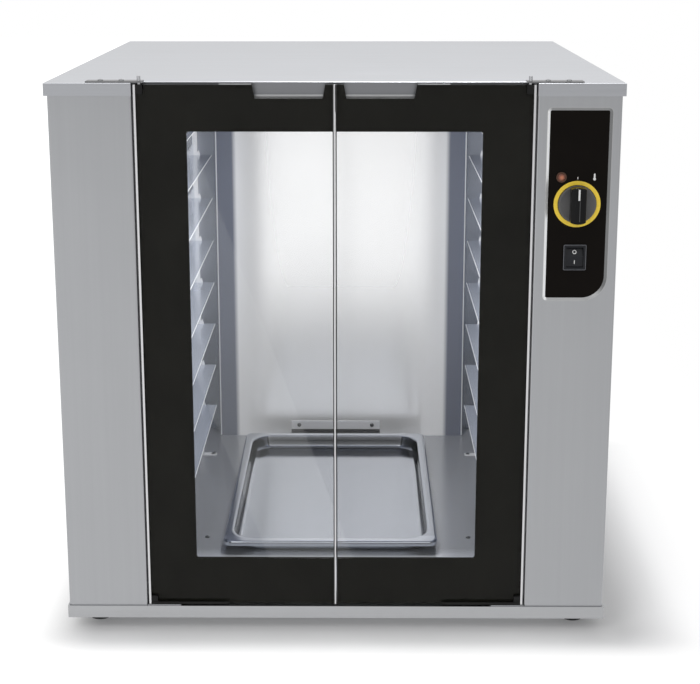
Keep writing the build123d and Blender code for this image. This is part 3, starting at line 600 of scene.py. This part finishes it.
def loose_parts(node):
    """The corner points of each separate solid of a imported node."""
    shape = bmesh.new()
    shape.from_mesh(nodes[node].data)
    bmesh.ops.remove_doubles(shape, verts=shape.verts, dist=0.01 * mm)
    met = set()
    parts = []
    for first in shape.verts:
        if first in met:
            continue
        met.add(first)
        stack = [first]
        part = []
        while stack:
            corner = stack.pop()
            part.append(corner.co.copy())
            for edge in corner.link_edges:
                other = edge.other_vert(corner)
                if other not in met:
                    met.add(other)
                    stack.append(other)
        parts.append(part)
    shape.free()
    return parts


def span_of(points):
    """Lowest and highest corner of some points."""
    low = Vector(tuple(min(point[axis] for point in points) for axis in range(3)))
    high = Vector(tuple(max(point[axis] for point in points) for axis in range(3)))
    return low, high


# ------------------------------------------------------------ water pan
pan_rim_corner = 16 * mm
pan_basin_corner = 45 * mm
pan_rim = 17 * mm
pan_lip = 9 * mm
pan_roll = 3.2 * mm
pan_shoulder = 3.5 * mm
pan_foot_radius = 9 * mm
pan_wall = 1 * mm
pan_taper = math.radians(12)
pan_middle = 150 * mm  # inset that the rings of the flat basin floor shrink towards
corner_steps = 12
side_steps = 10


def rounded_ring(low, high, inset, corner, z):
    """Points round a rectangle with rounded corners, at one height."""
    x0, x1 = low.x + inset, high.x - inset
    y0, y1 = low.y + inset, high.y - inset
    centres = ((x1 - corner, y1 - corner), (x0 + corner, y1 - corner),
               (x0 + corner, y0 + corner), (x1 - corner, y0 + corner))
    ring = []
    for quarter, (cx, cy) in enumerate(centres):
        for step in range(corner_steps + 1):
            turn = math.pi / 2 * (quarter + step / corner_steps)
            ring.append(Vector((cx + corner * math.cos(turn), cy + corner * math.sin(turn), z)))
        after = centres[(quarter + 1) % 4]
        turn = math.pi / 2 * (quarter + 1)
        start = ring[-1]
        end = Vector((after[0] + corner * math.cos(turn), after[1] + corner * math.sin(turn), z))
        ring += [start.lerp(end, step / side_steps) for step in range(1, side_steps)]
    return ring


def pan_profile(depth):
    """(inset, height under the rim's top, corner radius) from the lip round to the basin floor."""
    profile = [(0.0, -pan_lip, pan_rim_corner), (0.0, -pan_roll, pan_rim_corner)]
    for step in range(1, 6):
        turn = math.pi / 2 * step / 5
        inset = pan_roll * (1 - math.cos(turn))
        profile.append((inset, -pan_roll * (1 - math.sin(turn)), pan_rim_corner - inset))
    edge = pan_rim - pan_shoulder * 0.7
    for step in range(1, 5):
        share = step / 4
        inset = pan_roll + (edge - pan_roll) * share
        blend = share * share * (3 - 2 * share)
        corner = pan_rim_corner - pan_roll + (pan_basin_corner - pan_rim_corner + pan_roll) * blend
        profile.append((inset, -0.25 * mm * share, corner))
    steep = math.pi / 2 - pan_taper
    inset, z = profile[-1][:2]
    for step in range(1, 6):
        turn = steep * step / 5
        across = pan_shoulder * math.sin(turn)
        down = pan_shoulder * (1 - math.cos(turn))
        profile.append((inset + across, z - down, pan_basin_corner - across * 0.3))
    inset, z, corner = profile[-1]
    rise = pan_foot_radius * (1 - math.cos(steep))
    fall = depth + z - rise
    profile.append((inset + fall * math.tan(pan_taper) * 0.5, z - fall * 0.5, corner - 1 * mm))
    wall_end = inset + fall * math.tan(pan_taper)
    profile.append((wall_end, z - fall, corner - 2 * mm))
    for step in range(1, 7):
        turn = steep * (1 - step / 6)
        across = pan_foot_radius * (math.sin(steep) - math.sin(turn))
        down = pan_foot_radius * (math.cos(turn) - math.cos(steep))
        profile.append((wall_end + across, z - fall - down, corner - 2 * mm - across * 0.6))
    inset, z, corner = profile[-1]
    for share in (0.25, 0.6, 0.92):
        profile.append((inset + (pan_middle - inset) * share, z, corner))
    return profile


def make_pan():
    """The pressed water pan: rolled rim, drawn corners and a flat basin."""
    low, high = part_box("water_pan")
    profile = pan_profile(high.z - low.z - pan_wall)
    upper = [rounded_ring(low, high, inset, corner, high.z + z) for inset, z, corner in profile]
    under = []
    for index, (inset, z, corner) in enumerate(profile):
        before, after = profile[max(index - 1, 0)], profile[min(index + 1, len(profile) - 1)]
        slope = math.atan2(before[1] - after[1], after[0] - before[0])
        shift_in, shift_down = pan_wall * math.sin(slope), pan_wall * math.cos(slope)
        if index == 0:
            shift_in, shift_down = -pan_wall, 0.0
        inner = max(1 * mm, corner + shift_in)
        under.append(rounded_ring(low, high, inset - shift_in, inner, high.z + z - shift_down))
    rings = list(reversed(under)) + upper
    add_piece("pan_pressed", solid(rings), "pan_steel", "pan", ("water_pan",))


# ------------------------------------------------------------ screws
recess_reach = 2.3 * mm
recess_width = 0.95 * mm
recess_depth = 1.3 * mm
screw_shank = 2.0 * mm  # radius
screw_spin = 0.7  # each recess is turned on by that much
turn_steps = 28


def lathe(profile):
    """A turned solid about Z from (radius, z) pairs, closed at both ends."""
    around = full_turn(turn_steps)
    return solid([[(radius * x, radius * y, z) for x, y in around] for radius, z in profile])


def cross_cutter(top):
    """A tapered cross that cuts a driver recess."""
    reach, half, waist = recess_reach, recess_width / 2, recess_width * 0.75
    arm = ((reach, -half, 0), (reach, half, 0), (waist, waist, 0))
    turns = [Matrix.Rotation(math.pi / 2 * quarter, 3, "Z") for quarter in range(4)]
    corners = [turn @ Vector(point) for turn in turns for point in arm]
    levels = ((0.55, top - recess_depth), (1.08, top + 0.4 * mm))
    return solid([[(p.x * share, p.y * share, height) for p in corners] for share, height in levels])


def cut(shape, cutter):
    """The first bmesh less the second, by an exact boolean."""
    holders = []
    for name, part in (("cut_body", shape), ("cut_tool", cutter)):
        mesh = bpy.data.meshes.new(name)
        part.to_mesh(mesh)
        part.free()
        holder = bpy.data.objects.new(name, mesh)
        bpy.context.scene.collection.objects.link(holder)
        holders.append(holder)
    step = holders[0].modifiers.new("cut", "BOOLEAN")
    step.operation, step.object, step.solver = "DIFFERENCE", holders[1], "EXACT"
    scene_now = bpy.context.evaluated_depsgraph_get()
    result = bpy.data.meshes.new_from_object(holders[0].evaluated_get(scene_now))
    for holder in holders:
        bpy.data.objects.remove(holder)
    return result


def screw_mesh(head, height, length):
    """A pan-head screw along +Z, seated at the origin."""
    dome = [(head * math.cos(turn), height * (0.35 + 0.65 * math.sin(turn)))
            for turn in (0.0, 0.35, 0.7, 1.0, 1.25)]
    shank = [(screw_shank * 0.6, -length), (screw_shank, -length + 0.5 * mm), (screw_shank, 0.0)]
    profile = shank + [(head, 0.0)] + dome + [(head * 0.12, height)]
    return cut(lathe(profile), cross_cutter(height))


def make_screws():
    """A cross-recess screw in place of each plain one. They are all of one size."""
    finished = None
    shape = bmesh.new()
    for index, part in enumerate(loose_parts("screws")):
        low, high = span_of(part)
        size, middle = high - low, (high + low) / 2
        axis = min(range(3), key=lambda a: size[a])
        across = [a for a in range(3) if a != axis]
        head = max(size[a] for a in across) / 2
        rim = [p[axis] for p in part if math.hypot(*(p[a] - middle[a] for a in across)) > head * 0.9]
        seat = max(rim, key=lambda v: min(abs(v - low[axis]), abs(v - high[axis])))
        sign = 1.0 if abs(high[axis] - seat) < abs(seat - low[axis]) else -1.0
        height = abs((high[axis] if sign > 0 else low[axis]) - seat)
        if finished is None:
            finished = screw_mesh(head, height, size[axis] - height)
        facing = Vector((0, 0, 0))
        facing[axis] = sign
        place = middle.copy()
        place[axis] = seat
        turn = facing.to_track_quat("Z", "Y").to_matrix().to_4x4()
        spin = Matrix.Rotation(screw_spin * index, 4, "Z")
        copy = finished.copy()
        copy.transform(Matrix.Translation(place) @ turn @ spin)
        shape.from_mesh(copy)
        bpy.data.meshes.remove(copy)
    add_piece("screws_cross", shape, "screw_steel", "cabinet", ("screws",))


# ------------------------------------------------------------ knob
skirt_depth = 5.0 * mm
skirt_ribs = 44
skirt_steps = 6 * skirt_ribs
rib_depth = 0.45 * mm
grip_half = 12.5 * mm
grip_inset = 1.2 * mm  # grip's ends inside the skirt's edge
grip_round = 2.4 * mm
grip_sag = 1.6 * mm  # how much lower its front is along the sides than in the middle
grip_foot = 3.5 * mm
grip_arc_steps = 12
grip_highlight_width = 1.1 * mm  # a painted highlight line down the grip
grip_highlight_aside = 1.6 * mm
grip_highlight_sunk = 0.05 * mm


def make_skirt(radius, matrix):
    """A disc with fine ribs round its edge. Each ring is (radius, height, share of the ribs)."""
    profile = (
        (0.3 * radius, 0.0, 0.0), (radius - 1.2 * mm, 0.0, 0.0), (radius, 0.5 * mm, 1.0),
        (radius, skirt_depth - 1.5 * mm, 1.0), (radius - 0.3 * mm, skirt_depth - 0.7 * mm, 0.6),
        (radius - 0.8 * mm, skirt_depth - 0.25 * mm, 0.2), (radius - 1.6 * mm, skirt_depth, 0.0),
        (radius - 3.2 * mm, skirt_depth, 0.0), (radius - 3.8 * mm, skirt_depth - 0.3 * mm, 0.0),
        (0.5 * radius, skirt_depth - 0.4 * mm, 0.0), (0.1 * radius, skirt_depth - 0.4 * mm, 0.0),
    )
    rings = []
    for reach, height, share in profile:
        ring = []
        for step, (x, y) in enumerate(full_turn(skirt_steps)):
            wave = 0.5 - 0.5 * math.cos(2 * math.pi * step * skirt_ribs / skirt_steps)
            ribbed = reach - share * rib_depth * wave
            ring.append(matrix @ Vector((ribbed * x, ribbed * y, height)))
        rings.append(ring)
    add_piece("knob_skirt", solid(rings), "knob_black", "knob", ("knob",))


def grip_ring(radius, inset):
    """The grip's outline: a bar across a circle, both drawn in by the inset."""
    half, reach = grip_half - inset, radius - grip_inset - inset
    start = math.asin(half / reach)
    rise = reach * math.cos(start)
    ring = []
    for side in (1, -1):
        for step in range(grip_arc_steps):
            ring.append((side * half, side * rise * (2 * step / grip_arc_steps - 1)))
        for step in range(grip_arc_steps):
            turn = side * math.pi / 2 - start + 2 * start * step / grip_arc_steps
            ring.append((reach * math.cos(turn), reach * math.sin(turn)))
    return ring


def make_grip(radius, depth, matrix):
    """A bar grip across the knob, arched from side to side, with soft edges."""
    levels = [(0.0, grip_foot), (0.0, depth - grip_round - 3 * mm)]
    for step in range(7):
        turn = math.pi / 2 * step / 6
        levels.append((grip_round * (1 - math.cos(turn)), depth - grip_round * (1 - math.sin(turn))))
    levels += [(inset * mm, depth) for inset in (4.0, 6.0, 8.0, 10.0, 11.6)]
    rings = []
    for inset, height in levels:
        blend = min(1.0, max(0.0, (height - grip_foot) / (depth - grip_round - grip_foot)))
        ring = []
        for x, y in grip_ring(radius, inset):
            sag = grip_sag * blend * (x / grip_half) ** 2
            ring.append(matrix @ Vector((x, y, height - sag)))
        rings.append(ring)
    add_piece("knob_grip", solid(rings), "grip_black", "knob", ("knob",))


def make_grip_highlight(radius, depth, matrix):
    """A painted highlight line down the grip, from below the pointer to near the skirt's edge."""
    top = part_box("knob_pointer")[0].z - matrix.translation.z - 2 * mm
    bottom = 6 * mm - radius
    on_grip = matrix @ Vector((grip_highlight_aside, (top + bottom) / 2, depth - grip_highlight_sunk))
    shape = bmesh.new()
    flat_prism(shape, bar(grip_highlight_width, top - bottom), Matrix.Translation(on_grip))
    add_piece("knob_highlight", shape, "grip_highlight", "knob")


def make_knob():
    """The knob's skirt, its grip and the painted highlight line on it, drawn with Z out of the front
    and Y up.
    """
    low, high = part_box("knob")
    radius, depth = (high.x - low.x) / 2, high.y - low.y
    foot = Vector(((low.x + high.x) / 2, high.y, (low.z + high.z) / 2))
    matrix = Matrix.Translation(foot) @ Matrix.Rotation(math.radians(90), 4, "X")
    make_skirt(radius, matrix)
    make_grip(radius, depth, matrix)
    make_grip_highlight(radius, depth, matrix)


# ------------------------------------------------------------ rack and baffle details
runner_thickness = 1.2 * mm
gusset_width = 14.0 * mm
gusset_apex = 11.5 * mm  # its top, inwards of the runner's web
gusset_height = 11.0 * mm
gusset_thickness = 1.4 * mm
gusset_gap = 0.6 * mm  # in front of the rear upright
gusset_steps = 6
hem_radius = 0.8 * mm
hem_short = 0.5 * mm  # at each end of the runner
fold_radius = 1.4 * mm
fold_inset = 2.6 * mm
rod_steps = 10


def gusset_outline():
    """A gusset from the front, in X from the web inwards and Z up from the flange."""
    outline = [(0.0, 0.0), (gusset_width, 0.0)]
    for step in range(1, gusset_steps + 1):
        share = step / gusset_steps
        across = gusset_width + (gusset_apex - gusset_width) * share
        outline.append((across, gusset_height * share ** 0.8))
    for step in range(1, gusset_steps):
        share = step / gusset_steps
        outline.append((gusset_apex * (1 - share), gusset_height * (1 - share) ** 1.3))
    return outline


def make_gussets():
    """The triangular lugs that hold each runner to its rear upright."""
    for name, side in SIDES:
        uprights = loose_parts(f"rack_uprights_{name}")
        rear = max(span_of(part)[0].y for part in uprights) - gusset_gap
        shape = bmesh.new()
        for part in loose_parts(f"rack_runners_{name}"):
            low, high = span_of(part)
            web = high.x - runner_thickness if side > 0 else low.x + runner_thickness
            flange = low.z + runner_thickness
            rings = [
                [Vector((web - side * x, y, flange + z)) for x, z in gusset_outline()]
                for y in (rear - gusset_thickness, rear)
            ]
            join_rings(shape, rings)
        add_piece(f"rack_gussets_{name}", shape, "upright_steel", "cabinet")


def rod(shape, start, end, radius):
    """A round rod between two points, with slightly narrowed ends."""
    turn = (end - start).to_track_quat("Z", "Y").to_matrix().to_4x4()
    length = (end - start).length
    rings = []
    for reach, height in ((0.7, 0.0), (1.0, 0.3 * radius), (1.0, length - 0.3 * radius), (0.7, length)):
        reach *= radius
        around = [Vector((reach * x, reach * y, height)) for x, y in full_turn(rod_steps)]
        rings.append([start + turn @ point for point in around])
    join_rings(shape, rings)


def make_hems():
    """The rolled inner edge of each runner's flange."""
    for name, side in SIDES:
        shape = bmesh.new()
        for part in loose_parts(f"rack_runners_{name}"):
            low, high = span_of(part)
            edge = low.x if side > 0 else high.x
            middle = low.z + runner_thickness - hem_radius
            start, end = (Vector((edge, y, middle)) for y in (low.y + hem_short, high.y - hem_short))
            rod(shape, start, end, hem_radius)
        add_piece(f"rack_hems_{name}", shape, "bright_edge", "cabinet")


def make_folds():
    """The bright rolled edge down each side of the baffle."""
    low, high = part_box("baffle_panel")
    shape = bmesh.new()
    for edge in (low.x + fold_inset, high.x - fold_inset):
        start = Vector((edge, low.y + fold_radius * 0.4, low.z + 1 * mm))
        rod(shape, start, Vector((edge, start.y, high.z - 1 * mm)), fold_radius)
    add_piece("baffle_folds", shape, "bright_edge", "cabinet")


# ------------------------------------------------------------ enamel and painted highlight round the switch
enamel_clearance = 0.1 * mm
# The pale line round the switch's frame is a painted highlight
outline_width = 0.9 * mm
outline_height = 0.35 * mm
outline_corner = 2.0 * mm


def rounded_outline(half_x, half_z, corner):
    """Points round a rectangle with rounded corners, in X and Z."""
    points = []
    for quarter, (side, up) in enumerate(((1, 1), (-1, 1), (-1, -1), (1, -1))):
        for step in range(7):
            turn = math.pi / 2 * (quarter + step / 6)
            points.append((side * (half_x - corner) + corner * math.cos(turn),
                           up * (half_z - corner) + corner * math.sin(turn)))
    return points


def make_enamel():
    """The enamel border of each door, a hair behind the pane so that no two faces share a plane."""
    for side, _ in SIDES:
        node = f"door_{side}_print"
        shape = bmesh.new()
        shape.from_mesh(nodes[node].data)
        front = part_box(node)[0].y
        for corner in shape.verts:
            corner.co.y = max(corner.co.y, front + enamel_clearance)
        add_piece(f"enamel_{side}", shape, "black_enamel", f"door_{side}", (node,))


def make_switch_edge_highlight():
    """A thin pale bead round the switch's frame: a painted highlight on its edge."""
    low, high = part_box("switch_frame")
    middle, half = (low + high) / 2, (high - low) / 2
    rings = []
    for inset, rise in ((0.0, 0.0), (0.0, outline_height),
                        (outline_width, outline_height), (outline_width, 0.0)):
        outline = rounded_outline(half.x - inset, half.z - inset, outline_corner - inset)
        rings.append([(middle.x + x, low.y - rise, middle.z + z) for x, z in outline])
    shape = bmesh.new()
    join_rings(shape, rings, looped=True)
    add_piece("switch_edge_highlight", shape, "switch_highlight", "cabinet")


# ------------------------------------------------------------ marks on the panel
mark_thickness = 0.12 * mm
tick_size = (1.3 * mm, 3.8 * mm)
tick_above_knob = 43.0 * mm
thermometer_offset = (27.4 * mm, 45.0 * mm)
thermometer_size = (2.6 * mm, 11.5 * mm, 2.3 * mm)  # stem's width, height, bulb's radius
off_radius = 3.4 * mm
sign_stroke = 1.15 * mm
on_height = 6.2 * mm
round_steps = 24


def place_on(node, x, z):
    """A matrix whose XZ plane lies on the node's front there, with -Y looking out of it."""
    ray = Vector((x, cad_low.y - 0.1, z))
    _, place, normal, _ = nodes[node].ray_cast(ray, Vector((0, 1, 0)))
    out = -normal.normalized()
    side = Vector((1, 0, 0))
    up = side.cross(out).normalized()
    matrix = Matrix((side, out, up)).transposed().to_4x4()
    matrix.translation = place
    return matrix


def flat_prism(shape, outline, matrix, hole=None):
    """A thin raised mark from an outline in X and Z, with an optional hole of as many points."""
    def lift(points, y):
        return [matrix @ Vector((x, y, z)) for x, z in points]

    rings = [lift(outline, 0.0), lift(outline, -mark_thickness)]
    if hole:
        rings += [lift(hole, -mark_thickness), lift(hole, 0.0)]
    join_rings(shape, rings, looped=bool(hole))


def circle(radius):
    """Points of a circle."""
    return [(radius * x, radius * z) for x, z in full_turn(round_steps)]


def bar(width, height):
    """Corners of an upright bar."""
    x, z = width / 2, height / 2
    return [(-x, -z), (x, -z), (x, z), (-x, z)]


def thermometer(width, height, bulb):
    """The outline of a thermometer: a round bulb under a stem with a round top."""
    half = width / 2
    bottom = -height / 2 + bulb
    top = height / 2 - half
    start = math.asin(half / bulb)
    turns = [math.pi / 2 - start - (2 * math.pi - 2 * start) * step / 18 for step in range(19)]
    outline = [(bulb * math.cos(turn), bottom + bulb * math.sin(turn)) for turn in turns]
    turns = [math.pi - math.pi * step / 8 for step in range(9)]
    return outline + [(half * math.cos(turn), top + half * math.sin(turn)) for turn in turns]


def make_panel_marks():
    """A tick over the knob and a thermometer sign at its right."""
    low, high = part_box("knob")
    x, z = (low.x + high.x) / 2, (low.z + high.z) / 2
    shape = bmesh.new()
    flat_prism(shape, bar(*tick_size), place_on("control_plate", x, z + tick_above_knob))
    sign = place_on("control_plate", x + thermometer_offset[0], z + thermometer_offset[1])
    flat_prism(shape, thermometer(*thermometer_size), sign)
    add_piece("panel_marks", shape, "pointer_white", "cabinet")


def make_rocker_marks():
    """The off sign, a ring, above the on sign, a stroke, on the rocker's two faces."""
    low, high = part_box("switch_rocker")
    x, z, half = (low.x + high.x) / 2, (low.z + high.z) / 2, (high.z - low.z) / 2
    shape = bmesh.new()
    ring = place_on("switch_rocker", x, z + half * 0.5)
    flat_prism(shape, circle(off_radius), ring, circle(off_radius - sign_stroke))
    stroke = place_on("switch_rocker", x, z - half * 0.5)
    flat_prism(shape, bar(sign_stroke, on_height), stroke)
    add_piece("rocker_marks", shape, "pointer_white", "rocker")


# ------------------------------------------------------------ scene
def put(name, data, place, turn):
    """Links a lamp or a camera at its place."""
    thing = bpy.data.objects.new(name, data)
    thing.location = place
    thing.rotation_euler = turn
    bpy.context.scene.collection.objects.link(thing)
    return thing


def make_camera():
    """The camera at the photograph's viewing angle."""
    data = bpy.data.cameras.new("camera")
    data.lens = camera_lens
    data.sensor_width = 36.0
    data.shift_y = camera_shift
    data.clip_end = camera_reach
    place = (camera_side, column_face - camera_distance, camera_height)
    turn = (math.radians(90 - camera_pitch), 0, math.radians(camera_yaw))
    bpy.context.scene.camera = put("camera", data, place, turn)


def make_world():
    """White where the camera looks, a pale room where metal mirrors it, and soft light all round."""
    world = bpy.data.worlds.new("studio")
    bpy.context.scene.world = world
    world.use_nodes = True
    world.cycles.sampling_method = "NONE"
    made = Nodes(world.node_tree)
    made.tree.nodes.clear()
    place = made.new("SeparateXYZ", Vector=made.new("TexCoord").outputs["Generated"]).outputs
    rise = made.span(place["Z"], 0.0, rise_end, horizon_tone, zenith_tone)
    behind = made.span(place["Y"], *back_rise, 0.0, back_gain)
    strengths = (world_light, made.math("ADD", rise, behind), 1.0)
    glows = [made.new("Background", Color=(1, 1, 1, 1), Strength=strength) for strength in strengths]
    light, room, white = (glow.outputs[0] for glow in glows)
    mirrored = made.mix(made.looked_at(), light, room)
    camera_ray = made.new("LightPath").outputs["Is Camera Ray"]
    made.new("OutputWorld", Surface=made.mix(camera_ray, mirrored, white))


def beyond_cabinet(made):
    """How far a place on the floor is from the cabinet's outline."""
    place = made.new("TexCoord").outputs["Object"]
    half = ((cad_high.x - cad_low.x) / 2, (cad_high.y - cad_low.y) / 2, 1.0)
    none = (0.0, 0.0, 0.0)
    steps = (
        ("SUBTRACT", (floor_clear_aside, 0.0, 0.0)), ("ABSOLUTE", none), ("SUBTRACT", half),
        ("MAXIMUM", none), ("MULTIPLY", (1.0, floor_clear_ahead, 0.0)),
    )
    for operation, second in steps:
        place = made.vector(operation, place, second).outputs["Vector"]
    return made.vector("LENGTH", place).outputs["Value"]


def floor_finish():
    """Pale, and where it is looked at or mirrored it turns to white beyond the object's shadow."""
    made = Finish("Studio_floor", floor_color, 0.9, Specular_IOR_Level=0.0)
    made.shade(made.noise((0.7, 0.7, 0.7), detail=2.0), 0.01)
    seen = made.looked_at()
    camera_ray = made.new("LightPath").outputs["Is Camera Ray"]
    lift = made.span(camera_ray, 0.0, 1.0, floor_lift_mirrored, floor_lift)
    made.feed(made.shader.inputs["Emission Strength"], made.times(seen, lift))
    made.shader.inputs["Emission Color"].default_value = (1, 1, 1, 1)
    made.material.cycles.emission_sampling = "NONE"
    away = made.span(beyond_cabinet(made), *floor_clear, 0.0, 1.0, "SMOOTHSTEP")
    across = made.part("Object", "X")
    dimmer = made.span(across, -floor_mirrored_half, floor_mirrored_half, *floor_mirrored)
    white = made.new("Emission", Strength=made.math("MAXIMUM", camera_ray, dimmer)).outputs[0]
    surface = made.mix(made.times(seen, away), made.shader.outputs[0], white)
    made.feed(made.tree.nodes["Material Output"].inputs["Surface"], surface)
    return made.material


def make_floor():
    """A wide pale floor that keeps the object's shadow."""
    mesh = bpy.data.meshes.new("studio_floor")
    shape = bmesh.new()
    bmesh.ops.create_grid(shape, x_segments=8, y_segments=8, size=floor_half)
    shape.to_mesh(mesh)
    shape.free()
    mesh.materials.append(floor_finish())
    floor = bpy.data.objects.new("studio_floor", mesh)
    bpy.context.scene.collection.objects.link(floor)


def make_lamps():
    """Three round studio lamps, which the camera doesn't see."""
    for name, place, size, watts in lamps:
        data = bpy.data.lights.new(name, "AREA")
        data.shape = "DISK"
        data.size = size
        data.energy = watts
        turn = (lamps_target - Vector(place)).to_track_quat("-Z", "Y").to_euler()
        put(name, data, place, turn).visible_camera = False


def make_cavity_lamp():
    """A soft light under the cavity's ceiling, which shows neither itself nor its mirror image."""
    data = bpy.data.lights.new("cavity", "AREA")
    data.shape = "RECTANGLE"
    data.size, data.size_y = cavity_lamp_size
    data.energy = cavity_lamp_watts
    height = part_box("cavity_ceiling")[0].z - cavity_lamp_drop
    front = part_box("door_left_glass")[0].y
    place = (0, front + cavity_lamp_behind_glass, height)
    lamp = put("cavity", data, place, (math.radians(cavity_lamp_tilt), 0, 0))
    lamp.visible_camera = False
    lamp.visible_glossy = False


def make_scene():
    """The camera, the background and the lamps."""
    bpy.context.scene.view_settings.view_transform = "Standard"
    make_camera()
    make_world()
    make_floor()
    make_lamps()
    make_cavity_lamp()


make_scene()
dress_nodes()
make_pan()
make_screws()
make_knob()
make_gussets()
make_hems()
make_folds()
make_enamel()
make_switch_edge_highlight()
make_panel_marks()
make_rocker_marks()
